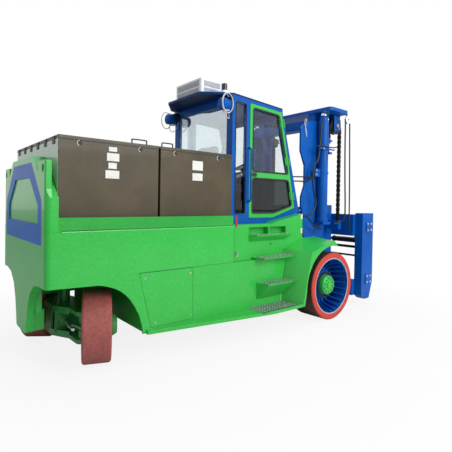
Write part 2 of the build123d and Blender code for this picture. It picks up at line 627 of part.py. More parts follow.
# Front wheels
for side, word in ((-1, "right"), (1, "left")):
    centre = (AX, side * (OUTER_Y - F_TYRE_W / 2), F_TYRE_R)
    axis = (0, side, 0)
    half = F_TYRE_W / 2
    chamfer_w = 14
    with BuildPart() as tyre:
        turn(centre, axis, ((-half, F_RIM_R), (-half, F_TYRE_R - chamfer_w), (-half + chamfer_w, F_TYRE_R),
                            (half - chamfer_w, F_TYRE_R), (half, F_TYRE_R - chamfer_w), (half, F_RIM_R)))
    save(tyre, f"front_tyre_{word}")
    disc_a = F_DISC_Y - (OUTER_Y - half)
    rim_out = F_RIM_R - SEAT
    rim_in = rim_out - F_RIM_WALL
    with BuildPart() as rim:
        turn(centre, axis, ((-half, rim_in), (-half, rim_out), (half - 8, rim_out), (half - 8, rim_in)))
        turn(centre, axis, ((disc_a - F_DISC_T, HUB_R + SEAT), (disc_a - F_DISC_T, rim_in + 4),
                            (disc_a, rim_in + 4), (disc_a, HUB_R + SEAT)))
        for k in range(F_RIBS):
            turn_k = 2 * math.pi * k / F_RIBS
            radial = Vector(math.sin(turn_k), 0, math.cos(turn_k))
            with BuildSketch(Plane(origin=centre, x_dir=axis, z_dir=Vector(*axis).cross(radial))):
                with BuildLine():
                    Polyline((disc_a - 2, 235), (disc_a - 2, rim_in + 4), (half - 30, rim_in + 4),
                             (half - 30, rim_in - 22), (disc_a + 60, 290), close=True)
                make_face()
            extrude(amount=5, both=True)
    save(rim, f"front_rim_{word}")
    hub_in = disc_a - F_DISC_T
    hub_out = disc_a + HUB_REACH
    with BuildPart() as hub:
        turn(centre, axis, ((hub_in, SPINDLE_R + RUN), (hub_in, HUB_R), (disc_a + SEAT, HUB_R),
                            (disc_a + SEAT, HUB_FLANGE_R), (disc_a + 22, HUB_FLANGE_R),
                            (disc_a + 40, HUB_R + 8), (hub_out - 40, HUB_R + 8), (hub_out - 12, HUB_R),
                            (hub_out, HUB_R - 14), (hub_out, 0), (disc_a + 110, 0),
                            (disc_a + 110, SPINDLE_R + RUN)))
    save(hub, f"front_hub_{word}")

# Steer axle: two tapered plates, a web and the centre post
PLATE_LOW = (AXLE_Z - 135, AXLE_Z - 95)
PLATE_TOP = (AXLE_Z + 130, AXLE_Z + 170)
RAIL_H = 25
RAIL_T = 20
AXLE_POST_R = 55
CYL_SEAT_Y = (172, 185)
CYL_R = 55
AXLE_REAR_X = KINGPIN_X - 190
AXLE_FRONT_X = KINGPIN_X + 110
with BuildPart() as steer_axle:
    for z0, z1 in (PLATE_LOW, PLATE_TOP):
        for side in (-1, 1):
            bar_z(80, z0, z1, KINGPIN_X, side * KINGPIN_Y)
            plan_profile(((KINGPIN_X - 79, side * KINGPIN_Y), (KINGPIN_X - 86, side * (KINGPIN_Y - 170)),
                          (AXLE_REAR_X, side * 130), (AXLE_REAR_X, 0), (AXLE_FRONT_X, 0),
                          (AXLE_FRONT_X, side * 120), (KINGPIN_X + 58, side * 270),
                          (KINGPIN_X + 58, side * KINGPIN_Y)), z0, z1)
    for z0, z1 in ((PLATE_LOW[1] - 1, PLATE_LOW[1] + RAIL_H), (PLATE_TOP[0] - RAIL_H, PLATE_TOP[0] + 1)):
        for side in (-1, 1):
            plan_profile(((KINGPIN_X - 86, side * (KINGPIN_Y - 170)), (AXLE_REAR_X, side * 130),
                          (AXLE_REAR_X, 0), (AXLE_REAR_X + RAIL_T, 0), (AXLE_REAR_X + RAIL_T, side * 126),
                          (KINGPIN_X - 76, side * (KINGPIN_Y - 180))), z0, z1)
    slab(AXLE_REAR_X, AXLE_REAR_X + RAIL_T, -95, 95, PLATE_LOW[0], PLATE_TOP[1])
    slab(KINGPIN_X + 20, KINGPIN_X + 50, -300, 300, PLATE_LOW[1], PLATE_TOP[0])
    bar_z(AXLE_POST_R, PLATE_TOP[1], LEDGE_Z, KINGPIN_X - 30, 0)
    for side in (-1, 1):
        slab(AXLE_REAR_X + 10, KINGPIN_X + 20, side * CYL_SEAT_Y[0], side * CYL_SEAT_Y[1], PLATE_LOW[1],
             PLATE_TOP[0])
        bar_z(KINGPIN_R + RUN, PLATE_LOW[0] - 50, PLATE_TOP[1] + 50, KINGPIN_X, side * KINGPIN_Y,
              mode=Mode.SUBTRACT)
        bar_y(CYL_R + 1, side * (CYL_SEAT_Y[0] - 12), side * (CYL_SEAT_Y[1] + 15), CYL_X, AXLE_Z,
              mode=Mode.SUBTRACT)
save(steer_axle, "steer_axle")

# Steering cylinder
ROD_R = 25
with BuildPart() as steer_cylinder:
    bar_y(CYL_R, -CYL_SEAT_Y[1] - 5, CYL_SEAT_Y[1] + 5, CYL_X, AXLE_Z)
    bar_y(ROD_R + RUN, -CYL_SEAT_Y[1] - 15, CYL_SEAT_Y[1] + 15, CYL_X, AXLE_Z, mode=Mode.SUBTRACT)
save(steer_cylinder, "steer_cylinder")

# Steering rod with an eye at each end
ROD_SHIFT = -106
ROD_HALF = 368
with BuildPart() as steer_rod:
    bar_y(ROD_R, ROD_SHIFT - ROD_HALF + 20, ROD_SHIFT + ROD_HALF - 20, CYL_X, AXLE_Z)
    for side in (-1, 1):
        bar_z(30, AXLE_Z - 12, AXLE_Z + 12, CYL_X, ROD_SHIFT + side * ROD_HALF)
save(steer_rod, "steer_rod")

# Rear wheels, knuckles and links
ARM_ANGLE = 180 + STEER_RIGHT - 6.7
R_SPINDLE_R = 45
PIN_R = 12
for side, word, angle in ((-1, "right", STEER_RIGHT), (1, "left", STEER_LEFT)):
    out = steer_dir(side, angle)
    kx = KINGPIN_X
    ky = side * KINGPIN_Y
    centre = (kx + OFFSET * out[0], ky + OFFSET * out[1], R_TYRE_R)
    half = R_TYRE_W / 2
    with BuildPart() as tyre:
        turn(centre, out, ((-half, R_RIM_R), (-half, R_TYRE_R - 16), (-half + 16, R_TYRE_R),
                           (half - 16, R_TYRE_R), (half, R_TYRE_R - 16), (half, R_RIM_R)))
    save(tyre, f"rear_tyre_{word}")
    rim_out = R_RIM_R - SEAT
    rim_in = rim_out - R_RIM_WALL
    with BuildPart() as rim:
        turn(centre, out, ((-half, rim_in), (-half, rim_out), (half - 6, rim_out), (half - 6, rim_in)))
        turn(centre, out, ((0, R_SPINDLE_R + RUN), (0, rim_in + 4), (25, rim_in + 4), (25, 110), (150, 110),
                           (190, 85), (190, 0), (150, 0), (150, R_SPINDLE_R + RUN)))
    save(rim, f"rear_rim_{word}")
    arm_a = math.radians(ARM_ANGLE)
    px = kx + ARM * math.cos(arm_a)
    py = ky + ARM * math.sin(arm_a)
    with BuildPart() as knuckle:
        bar_z(48, PLATE_LOW[1] + 3, PLATE_TOP[0] - 3, kx, ky)
        bar_z(KINGPIN_R, PLATE_LOW[0] - 5, PLATE_TOP[1] + 5, kx, ky)
        with BuildSketch(Plane(origin=(kx, ky, R_TYRE_R), x_dir=(0, 0, 1), z_dir=out)):
            Circle(R_SPINDLE_R)
        extrude(amount=OFFSET + 140)
        with BuildSketch(Plane.XY.offset(AXLE_Z - 12)):
            with BuildLine():
                a0 = (kx + 30 * math.sin(arm_a), ky - 30 * math.cos(arm_a))
                a1 = (px + 22 * math.sin(arm_a), py - 22 * math.cos(arm_a))
                a2 = (px - 22 * math.sin(arm_a), py + 22 * math.cos(arm_a))
                a3 = (kx - 30 * math.sin(arm_a), ky + 30 * math.cos(arm_a))
                Polyline(a0, a1, a2, a3, close=True)
            make_face()
            with Locations((px, py)):
                Circle(28)
        extrude(amount=24)
        bar_z(PIN_R + SEAT, AXLE_Z - 20, AXLE_Z + 20, px, py, mode=Mode.SUBTRACT)
    save(knuckle, f"knuckle_{word}")
    ex = CYL_X
    ey = ROD_SHIFT + side * ROD_HALF
    with BuildPart() as link:
        with BuildSketch(Plane.XY.offset(AXLE_Z + 28)):
            with BuildLine():
                dx = (ex - px) / math.hypot(ex - px, ey - py)
                dy = (ey - py) / math.hypot(ex - px, ey - py)
                Polyline((px - 16 * dy, py + 16 * dx), (ex - 16 * dy, ey + 16 * dx),
                         (ex + 16 * dy, ey - 16 * dx), (px + 16 * dy, py - 16 * dx), close=True)
            make_face()
            with Locations((px, py), (ex, ey)):
                Circle(26)
        extrude(amount=20)
        bar_z(PIN_R, AXLE_Z - 14, AXLE_Z + 30, px, py)
    save(link, f"steer_link_{word}")

# Tilt cylinders
TILT_VEC = Vector(TILT_PIN[0] - TILT_ANCHOR[0], 0, TILT_PIN[1] - TILT_ANCHOR[1])
TILT_DIR = TILT_VEC.normalized()
TILT_L = TILT_VEC.length
for side, word in ((-1, "right"), (1, "left")):
    y = side * TILT_Y
    base = Vector(TILT_ANCHOR[0], y, TILT_ANCHOR[1])
    barrel_plane = Plane(origin=base, x_dir=(0, 1, 0), z_dir=TILT_DIR)
    with BuildPart() as barrel:
        with BuildSketch(barrel_plane.offset(95)):
            Circle(TILT_BARREL_R)
        extrude(amount=TILT_BARREL_L)
        bar_y(ANCHOR_PIN_R + 20, y - 30, y + 30, base.X, base.Z)
        with BuildSketch(barrel_plane):
            Rectangle(60, 70)
        extrude(amount=97)
        bar_y(ANCHOR_PIN_R + RUN, y - 40, y + 40, base.X, base.Z, mode=Mode.SUBTRACT)
        with BuildSketch(barrel_plane.offset(150)):
            Circle(TILT_ROD_R + RUN)
        extrude(amount=600, mode=Mode.SUBTRACT)
    save(barrel, f"tilt_barrel_{word}")
    with BuildPart() as rod:
        with BuildSketch(barrel_plane.offset(300)):
            Circle(TILT_ROD_R)
        extrude(amount=TILT_L - 330)
        bar_y(TILT_PIN_R + 20, y - 36, y + 36, TILT_PIN[0], TILT_PIN[1])
        bar_y(TILT_PIN_R + TILT_DRIFT, y - 40, y + 40, TILT_PIN[0], TILT_PIN[1], mode=Mode.SUBTRACT)
    save(rod, f"tilt_rod_{word}")

# Outer mast: channels with rear stiffeners, foot clamps on the axle, cross members and brackets
CH_X1 = CH_X0 + CH_DEPTH
STIFF = ((211, 2760), (-30, 2760), (-100, 2690), (-100, 2360), (0, 2150), (0, 1850), (-70, 1690), (-70, 1560),
         (-30, 1430), (-20, 1150), (100, 900), (211, 820))
WEB = 28
with BuildPart() as mast_outer:
    plan_profile(((CH_X0, -CH_Y), (CH_X1, -CH_Y), (CH_X1, -CH_LIP_Y), (CH_X1 - CH_FLANGE, -CH_LIP_Y),
                  (CH_X1 - CH_FLANGE, -CH_Y + WEB), (CH_X0 + CH_FLANGE, -CH_Y + WEB),
                  (CH_X0 + CH_FLANGE, -CH_LIP_Y), (CH_X0, -CH_LIP_Y)), MAST_FOOT_Z, OUTER_TOP_Z)
    side_profile([(AX + x, z) for x, z in STIFF], -CH_Y, -CH_Y + WEB)
    with BuildSketch(Plane.XZ.offset(CH_Y)):
        with Locations((AX, F_TYRE_R)):
            Circle(AXLE_TUBE_R + 55)
        with BuildLine():
            Polyline((AX, 270), (CH_X0 + 5, 300), (CH_X0 + 5, 620), (AX, 650), close=True)
        make_face()
        with Locations((AX, F_TYRE_R)):
            Circle(AXLE_TUBE_R + SEAT, mode=Mode.SUBTRACT)
    extrude(amount=-50)
    slab(CH_X0 - 30, CH_X0 + 10, -CH_Y, -CH_LIP_Y, 560, 900)
    slab(LIFT_X - LIFT_R - 15, LIFT_X + LIFT_R + 15, -LIFT_Y - LIFT_R - 15, -CH_Y, LIFT_FOOT_Z - 40,
         LIFT_FOOT_Z - SEAT)
    for dy in (-58, 40):
        side_profile(((TILT_PIN[0] - 60, TILT_PIN[1] - 55), (TILT_PIN[0] - 60, TILT_PIN[1] + 55),
                      (CH_X0 + 5, TILT_PIN[1] + 110), (CH_X0 + 5, TILT_PIN[1] - 110)),
                     -TILT_Y + dy, -TILT_Y + dy + 18)
    bar_y(TILT_PIN_R, -TILT_Y - 58, -TILT_Y + 58, TILT_PIN[0], TILT_PIN[1])
    slab(CH_X0 - 2, CH_X0 + 5, -CH_Y, -CH_LIP_Y + 60, TILT_PIN[1] - 130, TILT_PIN[1] + 130)
    plan_profile(((CH_X1 - 60, -CH_Y + 2), (CH_X1 - 60, -CH_Y - 5), (AX + 430, -SHEAVE_Y + 20),
                  (AX + 430, -SHEAVE_Y - 40), (AX + 500, -SHEAVE_Y - 40), (AX + 500, -CH_Y + 2)), 2350, 2380)
    slab(REAR_RUN_X - 16, REAR_RUN_X + 16, -SHEAVE_Y - 25, -SHEAVE_Y + 25, CHAIN_ANCHOR_Z - 90,
         CHAIN_ANCHOR_Z - SEAT)
    bar_z(14, 2379, CHAIN_ANCHOR_Z - 85, REAR_RUN_X, -SHEAVE_Y)
    mirror(about=Plane.XZ)
    slab(AX + 40, CH_X0 + 5, -CH_Y + 10, CH_Y - 10, 2690, 2820)
    slab(AX + 80, CH_X0 + 5, -CH_Y + 10, CH_Y - 10, 640, 840)
save(mast_outer, "mast_outer")

# Lift cylinder barrels
with BuildPart() as lift_barrels:
    for side in (-1, 1):
        bar_z(LIFT_R, LIFT_FOOT_Z, OUTER_TOP_Z, LIFT_X, side * LIFT_Y)
        bar_z(LIFT_ROD_R + RUN, LIFT_FOOT_Z + 150, OUTER_TOP_Z + 5, LIFT_X, side * LIFT_Y, mode=Mode.SUBTRACT)
save(lift_barrels, "lift_barrels")

# Lift rods
with BuildPart() as lift_rods:
    for side in (-1, 1):
        bar_z(LIFT_ROD_R, LIFT_FOOT_Z + 160, HEAD_Z - SEAT, LIFT_X, side * LIFT_Y)
save(lift_rods, "lift_rods")

# Inner mast: nested channels, crosshead, sheave brackets and bottom tie
IN_X0 = CH_X0 + CH_FLANGE + 5
IN_X1 = CH_X1 - CH_FLANGE - 5
IN_Y = CH_Y - WEB - 5
IN_WEB = 25
with BuildPart() as mast_inner:
    plan_profile(((IN_X0, -IN_Y), (IN_X1, -IN_Y), (IN_X1, -CH_LIP_Y), (IN_X1 - 25, -CH_LIP_Y),
                  (IN_X1 - 25, -IN_Y + IN_WEB), (IN_X0 + 25, -IN_Y + IN_WEB), (IN_X0 + 25, -CH_LIP_Y),
                  (IN_X0, -CH_LIP_Y)), MAST_FOOT_Z + 20, HEAD_Z)
    for y0, y1 in ((-SHEAVE_Y - 52, -SHEAVE_Y - 34), (-SHEAVE_Y + 34, -SHEAVE_Y + 52)):
        side_profile(((SHEAVE_X - 80, HEAD_Z), (SHEAVE_X - 50, SHEAVE_Z - 50), (SHEAVE_X + 50, SHEAVE_Z - 50),
                      (SHEAVE_X + 80, HEAD_Z)), y0, y1)
    bar_y(28, -SHEAVE_Y - 52, -SHEAVE_Y + 52, SHEAVE_X, SHEAVE_Z)
    mirror(about=Plane.XZ)
    plan_profile(((HEAD_X0, -HEAD_Y), (HEAD_X1, -HEAD_Y), (HEAD_X1, HEAD_Y), (HEAD_X0, HEAD_Y)), HEAD_Z,
                 HEAD_Z + HEAD_T, corner=60)
    slab(IN_X0, IN_X0 + 50, -IN_Y + 5, IN_Y - 5, MAST_FOOT_Z + 20, MAST_FOOT_Z + 150)
save(mast_inner, "mast_inner")

# Chain sheaves
with BuildPart() as sheaves:
    for side in (-1, 1):
        turn((SHEAVE_X, side * SHEAVE_Y, SHEAVE_Z), (0, 1, 0),
             ((-30, 28 + RUN), (-30, SHEAVE_R + 8), (-26, SHEAVE_R), (26, SHEAVE_R), (30, SHEAVE_R + 8),
              (30, 28 + RUN)))
save(sheaves, "sheaves")

# Lift chains: front runs down to the carriage and short rear runs to the anchors
with BuildPart() as chain_front:
    for side in (-1, 1):
        y = side * SHEAVE_Y
        slab(FRONT_RUN_X - CHAIN_T / 2 + SEAT, FRONT_RUN_X + CHAIN_T / 2, y - CHAIN_W / 2, y + CHAIN_W / 2,
             CHAIN_FOOT_Z, SHEAVE_Z)
save(chain_front, "chain_front")
with BuildPart() as chain_rear:
    for side in (-1, 1):
        y = side * SHEAVE_Y
        slab(REAR_RUN_X - CHAIN_T / 2, REAR_RUN_X + CHAIN_T / 2 - SEAT, y - CHAIN_W / 2, y + CHAIN_W / 2,
             CHAIN_ANCHOR_Z, SHEAVE_Z)
save(chain_rear, "chain_rear")

# Carriage: side plates with rollers, two beams, chain lugs
CAR_X1 = CAR_X0 + CAR_BEAM_T
ROLLER_X = (IN_X0 + IN_X1) / 2
ROLLER_R = (IN_X1 - IN_X0) / 2 - IN_WEB - 6
with BuildPart() as carriage_frame:
    side_profile(((IN_X0 + 75, 420), (IN_X0 + 75, 1380), (AX + 640, 1440), (AX + 680, 1570),
                  (CAR_X0 + 1, 1570), (CAR_X0 + 1, 240), (AX + 640, 300)),
                 -CAR_SIDE_Y, -CAR_SIDE_Y + CAR_SIDE_T)
    for z in (520, 1280):
        bar_y(ROLLER_R, -IN_Y + IN_WEB + 5, -CAR_SIDE_Y - 8, ROLLER_X, z)
        bar_y(35, -CAR_SIDE_Y - 9, -CAR_SIDE_Y + 1, ROLLER_X, z)
    slab(FRONT_RUN_X - 40, FRONT_RUN_X + 40, -SHEAVE_Y - 40, -CAR_SIDE_Y + 1, CHAIN_FOOT_Z - 140,
         CHAIN_FOOT_Z - SEAT)
    mirror(about=Plane.XZ)
    slab(CAR_X0, CAR_X1, -CAR_Y + CAR_PLATE_T - 5, CAR_Y - CAR_PLATE_T + 5, 1090, 1430)
    slab(CAR_X0, CAR_X1, -CAR_Y + CAR_PLATE_T - 5, CAR_Y - CAR_PLATE_T + 5, 150, 400)
save(carriage_frame, "carriage_frame")

# Carriage end plates
with BuildPart() as carriage_plates:
    side_profile(((CAR_X1 + SEAT, CAR_FOOT_Z + 60), (CAR_X1 + SEAT, CAR_TOP_Z), (NOSE_X, CAR_TOP_Z),
                  (NOSE_X, CAR_FOOT_Z + 260), (NOSE_X - 90, CAR_FOOT_Z), (CAR_X1 + 90, CAR_FOOT_Z)),
                 -CAR_Y, -CAR_Y + CAR_PLATE_T)
    mirror(about=Plane.XZ)
save(carriage_plates, "carriage_plates")

# Rods and positioner cylinders between the end plates
with BuildPart() as carriage_rods:
    for z, r in ((1010, 22), (900, 22), (760, 16), (330, 30)):
        bar_y(r, -CAR_Y + CAR_PLATE_T + SEAT, CAR_Y - CAR_PLATE_T - SEAT, CAR_X1 + 120, z)
save(carriage_rods, "carriage_rods")
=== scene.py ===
"""Looks of an electric forklift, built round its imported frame.

Everything is in metres in the frame's axes: +X towards the mast, +Y to the driver's left, +Z up.
"""
from __future__ import annotations

import json
import logging
import math
from dataclasses import dataclass
from enum import Enum
from typing import Sequence

import bmesh
import bpy
import numpy as np
from mathutils import Matrix, Vector


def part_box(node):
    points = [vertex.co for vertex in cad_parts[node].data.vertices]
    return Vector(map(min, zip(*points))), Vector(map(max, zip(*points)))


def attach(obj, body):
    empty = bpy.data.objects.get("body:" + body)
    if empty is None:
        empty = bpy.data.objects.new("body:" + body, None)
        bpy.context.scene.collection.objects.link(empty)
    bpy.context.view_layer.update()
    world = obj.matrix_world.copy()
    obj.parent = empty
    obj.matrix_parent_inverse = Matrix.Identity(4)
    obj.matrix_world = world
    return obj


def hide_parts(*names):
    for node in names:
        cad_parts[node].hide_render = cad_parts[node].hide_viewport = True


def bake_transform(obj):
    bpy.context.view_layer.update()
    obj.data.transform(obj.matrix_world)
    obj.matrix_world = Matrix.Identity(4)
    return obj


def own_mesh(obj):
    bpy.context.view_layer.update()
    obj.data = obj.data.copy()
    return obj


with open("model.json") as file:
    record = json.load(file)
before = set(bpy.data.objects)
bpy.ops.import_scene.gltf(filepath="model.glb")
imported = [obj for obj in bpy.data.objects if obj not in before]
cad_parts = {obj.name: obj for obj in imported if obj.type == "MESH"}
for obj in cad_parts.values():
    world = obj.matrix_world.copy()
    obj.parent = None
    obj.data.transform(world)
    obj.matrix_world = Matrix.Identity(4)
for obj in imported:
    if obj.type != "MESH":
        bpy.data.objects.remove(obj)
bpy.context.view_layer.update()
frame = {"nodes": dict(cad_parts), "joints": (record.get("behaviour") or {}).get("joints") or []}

Array = np.ndarray
Vec = Sequence[float]
Points = Sequence[Sequence[float]]
Pairs = tuple[tuple[float, float], ...]
Quads = tuple[tuple[float, ...], ...]
Tree = bpy.types.NodeTree
Socket = bpy.types.NodeSocket
Piece = bpy.types.Object
MM = 0.001
LOG = logging.getLogger("forklift")


class Side(Enum):
    """The two sides of the machine; the value is the sign of Y."""

    RIGHT = -1
    LEFT = 1

    @property
    def word(self) -> str:
        """Word used in the names of bodies and pieces."""
        return self.name.lower()


class Slot(Enum):
    """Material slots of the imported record."""

    GREEN = "green_paint"
    BLUE = "blue_paint"
    BATTERY = "battery_paint"
    WHITE = "white_paint"
    GLASS = "window_glass"
    BRIGHT = "bright_steel"
    CHAIN = "chain_steel"
    BLACK = "black_steel"
    AMBER = "amber_lens"
    CLOTH = "seat_cloth"


def corner_box(node: str) -> tuple[Array, Array]:
    """Lowest and highest corner of a CAD node as arrays."""
    low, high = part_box(node)
    return np.array(low), np.array(high)


AXLE_X = float((corner_box("front_tyre_right")[0][0] + corner_box("front_tyre_right")[1][0]) / 2)


def places(points_mm: Points) -> Array:
    """Points given in millimetres, with X counted from the front axle."""
    return np.asarray(points_mm, float) * MM + np.array([AXLE_X, 0.0, 0.0])


# Surfaces


@dataclass
class Surface:
    """Points and faces of a skin.

    Attributes:
        points: The n by 3 array of corners.
        faces: Arrays of corner numbers, one array for each number of corners.
    """

    points: Array
    faces: list[Array]

    def turned(self, turn: Array, about: Vec = (0, 0, 0)) -> Surface:
        """The same skin, turned by a 3 by 3 matrix about a point."""
        pivot = np.asarray(about, float)
        return Surface((self.points - pivot) @ turn.T + pivot, self.faces)


def joined(skins: Sequence[Surface]) -> Surface:
    """One skin from several, with the corner numbers of each moved up by those before it."""
    starts = np.cumsum([0] + [len(s.points) for s in skins])
    faces = [f + start for s, start in zip(skins, starts) for f in s.faces]
    return Surface(np.concatenate([s.points for s in skins]), faces)


def skin(rings: Array, wrap: bool = True, caps: bool = True, close: bool = False) -> Surface:
    """Join rows of points with four-cornered faces.

    Args:
        rings: Array of n rows with m points each.
        wrap: Whether the last point of a row joins the first.
        caps: Whether the first and last row are filled.
        close: Whether the last row joins the first.

    Returns:
        Corner (i, j) joins (i, j+1), (i+1, j+1) and (i+1, j).
    """
    n, m = rings.shape[:2]
    i, j = np.meshgrid(np.arange(n if close else n - 1), np.arange(m if wrap else m - 1), indexing="ij")
    i2, j2 = (i + 1) % n, (j + 1) % m
    quads = np.stack([i * m + j, i * m + j2, i2 * m + j2, i2 * m + j], axis=-1).reshape(-1, 4)
    faces = [quads]
    if caps and not close:
        faces += [np.arange(m)[None, ::-1], (np.arange(m) + (n - 1) * m)[None]]
    return Surface(rings.reshape(-1, 3), faces)


def copies(shape: Surface, offsets: Array) -> Surface:
    """The same skin at each of several offsets, in one skin."""
    count = len(offsets)
    size = len(shape.points)
    points = (shape.points[None] + np.asarray(offsets, float)[:, None]).reshape(-1, 3)
    step = (np.arange(count) * size)[:, None, None]
    return Surface(points, [(f[None] + step).reshape(-1, f.shape[1]) for f in shape.faces])


def turn_matrix(axis: Vec, angle: float | Array) -> Array:
    """Rodrigues' turning matrices about a unit axis, one for each angle in radians."""
    a = np.asarray(axis, float) / np.linalg.norm(axis)
    cross = np.array([[0, -a[2], a[1]], [a[2], 0, -a[0]], [-a[1], a[0], 0]])
    t = np.asarray(angle, float)[..., None, None]
    return np.eye(3) + np.sin(t) * cross + (1 - np.cos(t)) * (cross @ cross)


def ring_of(shape: Surface, centre: Vec, axis: Vec, count: int, start: float = 0.0) -> Surface:
    """The same skin repeated at equal turns round an axis."""
    turns = turn_matrix(axis, start + np.arange(count) * 2 * np.pi / count)
    pivot = np.asarray(centre, float)
    points = np.einsum("kij,nj->kni", turns, shape.points - pivot).reshape(-1, 3) + pivot
    step = (np.arange(count) * len(shape.points))[:, None, None]
    return Surface(points, [(f[None] + step).reshape(-1, f.shape[1]) for f in shape.faces])


def rounded(corners: Points, reach: float, steps: int = 5) -> Array:
    """Flat outline whose corners are quadratic curves from `reach` before each corner to `reach` after it."""
    p = np.asarray(corners, float)
    before = np.roll(p, 1, axis=0) - p
    after = np.roll(p, -1, axis=0) - p
    long_b = np.linalg.norm(before, axis=1, keepdims=True)
    long_a = np.linalg.norm(after, axis=1, keepdims=True)
    r = np.minimum(reach, 0.48 * np.minimum(long_a, long_b))
    start = (p + before / long_b * r)[:, None]
    end = (p + after / long_a * r)[:, None]
    t = np.linspace(0, 1, steps)[None, :, None]
    return ((1 - t) ** 2 * start + 2 * t * (1 - t) * p[:, None] + t**2 * end).reshape(-1, p.shape[1])


def inset(outline: Array, depth: float) -> Array:
    """Flat outline moved inwards by `depth` along the bisector of each corner."""
    following = np.roll(outline, -1, axis=0)
    area = np.sum(outline[:, 0] * following[:, 1] - following[:, 0] * outline[:, 1])
    edge = following - outline
    edge = edge / np.linalg.norm(edge, axis=1, keepdims=True)
    outward = np.stack([edge[:, 1], -edge[:, 0]], axis=1) * np.sign(area)
    earlier = np.roll(outward, 1, axis=0)
    share = 1 + np.sum(outward * earlier, axis=1, keepdims=True)
    return outline - depth * (outward + earlier) / np.maximum(share, 0.3)


def plate(outline: Array, origin: Vec, x_dir: Vec, y_dir: Vec, depth: float,
          bevel: float = 0.0015) -> Surface:
    """Plate of even thickness with softened edges.

    Args:
        outline: Flat outline, n by 2.
        origin: Where the outline's zero lies.
        x_dir: Direction of the outline's first number.
        y_dir: Direction of the outline's second number.
        depth: Thickness along x_dir cross y_dir; a negative one goes the other way.
        bevel: Width of the softened edge.

    Returns:
        Four rings, inset at both faces by the bevel, with both faces filled.
    """
    x_axis, y_axis = np.asarray(x_dir, float), np.asarray(y_dir, float)
    z_axis = np.cross(x_axis, y_axis) * np.sign(depth)
    b = min(bevel, abs(depth) / 2.5)
    small = inset(outline, b)
    rings = []
    for flat, height in ((small, 0), (outline, b), (outline, abs(depth) - b), (small, abs(depth))):
        rings.append(flat[:, :1] * x_axis + flat[:, 1:] * y_axis + z_axis * height)
    return skin(np.stack(rings) + np.asarray(origin, float))


def block(low: Vec, high: Vec, bevel: float = 0.002, corner: float = 0.0) -> Surface:
    """Block between two corners with softened edges, its upright corners rounded by `corner`."""
    lo, hi = np.minimum(low, high), np.maximum(low, high)
    flat = np.array([[lo[0], lo[1]], [hi[0], lo[1]], [hi[0], hi[1]], [lo[0], hi[1]]])
    if corner:
        flat = rounded(flat, corner)
    return plate(flat, (0, 0, lo[2]), (1, 0, 0), (0, 1, 0), hi[2] - lo[2], bevel)


def strip(start: Vec, end: Vec, normal: Vec, width: float, depth: float,
          bevel: float = 0.0005) -> Surface:
    """Flat bar from start to end, `width` across and standing `depth` out along its normal."""
    a, b, n = (np.asarray(v, float) for v in (start, end, normal))
    length = float(np.linalg.norm(b - a))
    along = (b - a) / length
    flat = np.array([[0, -width / 2], [length, -width / 2], [length, width / 2], [0, width / 2]])
    return plate(flat, a, along, np.cross(n, along), depth, bevel)


def border(outline: Array, width: float, origin: Vec, x_dir: Vec, y_dir: Vec,
           depth: float) -> Surface:
    """Raised border inside a flat outline: its crowned section is carried round the loop and closed on itself."""
    x_axis, y_axis = np.asarray(x_dir, float), np.asarray(y_dir, float)
    z_axis = np.cross(x_axis, y_axis) * np.sign(depth)
    section = ((0, 0), (0, 0.65), (0.25, 1), (0.75, 1), (1, 0.65), (1, 0))
    rings = []
    for share, height in section:
        flat = inset(outline, width * share)
        rings.append(flat[:, :1] * x_axis + flat[:, 1:] * y_axis + z_axis * height * abs(depth))
    return skin(np.stack(rings) + np.asarray(origin, float), close=True)


def revolved(profile: Points, centre: Vec, axis: Vec, segments: int = 48,
             closed: bool = False) -> Surface:
    """Profile of (distance along the axis, radius) carried round an axis.

    Args:
        profile: The n by 2 profile.
        centre: A point on the axis, where the distance is zero.
        axis: Unit direction of the axis.
        segments: Number of steps round.
        closed: Whether the profile is a loop.

    Returns:
        Point (i, j) is centre + distance i along the axis + radius i at turn j.
    """
    p = np.asarray(profile, float)
    a = np.asarray(axis, float)
    helper = np.array([0, 0, 1.0]) if abs(a[2]) < 0.9 else np.array([1.0, 0, 0])
    u = np.cross(a, helper)
    u /= np.linalg.norm(u)
    v = np.cross(a, u)
    t = np.arange(segments) * 2 * np.pi / segments
    around = np.cos(t)[:, None] * u + np.sin(t)[:, None] * v
    rings = p[:, None, :1] * a + p[:, None, 1:] * around[None] + np.asarray(centre, float)
    return skin(rings, caps=not closed, close=closed)


def smooth_path(points: Points, per_span: int = 8) -> Array:
    """Catmull-Rom curve through the points, with `per_span` steps between two of them."""
    p = np.asarray(points, float)
    ends = np.concatenate([2 * p[:1] - p[1:2], p, 2 * p[-1:] - p[-2:-1]])
    a, b, c, d = ends[:-3, None], ends[1:-2, None], ends[2:-1, None], ends[3:, None]
    t = (np.arange(per_span) / per_span)[None, :, None]
    run = 0.5 * (2 * b + (c - a) * t + (2 * a - 5 * b + 4 * c - d) * t**2 + (3 * b - a - 3 * c + d) * t**3)
    return np.concatenate([run.reshape(-1, 3), p[-1:]])


def tube(path: Array, radius: float, sides: int = 12) -> Surface:
    """Round section carried along a path; each ring stands square to it, its first spoke beside the path's plane."""
    ahead = np.gradient(path, axis=0)
    ahead /= np.linalg.norm(ahead, axis=1, keepdims=True)
    flattest = np.linalg.svd(path - path.mean(axis=0))[2][-1]
    u = np.cross(ahead, flattest)
    weak = np.linalg.norm(u, axis=1, keepdims=True) < 1e-6
    u = np.where(weak, np.cross(ahead, np.roll(flattest, 1) + 0.3), u)
    u /= np.linalg.norm(u, axis=1, keepdims=True)
    v = np.cross(ahead, u)
    t = np.arange(sides) * 2 * np.pi / sides
    rings = path[:, None] + radius * (np.cos(t)[None, :, None] * u[:, None] + np.sin(t)[None, :, None] * v[:, None])
    return skin(rings)


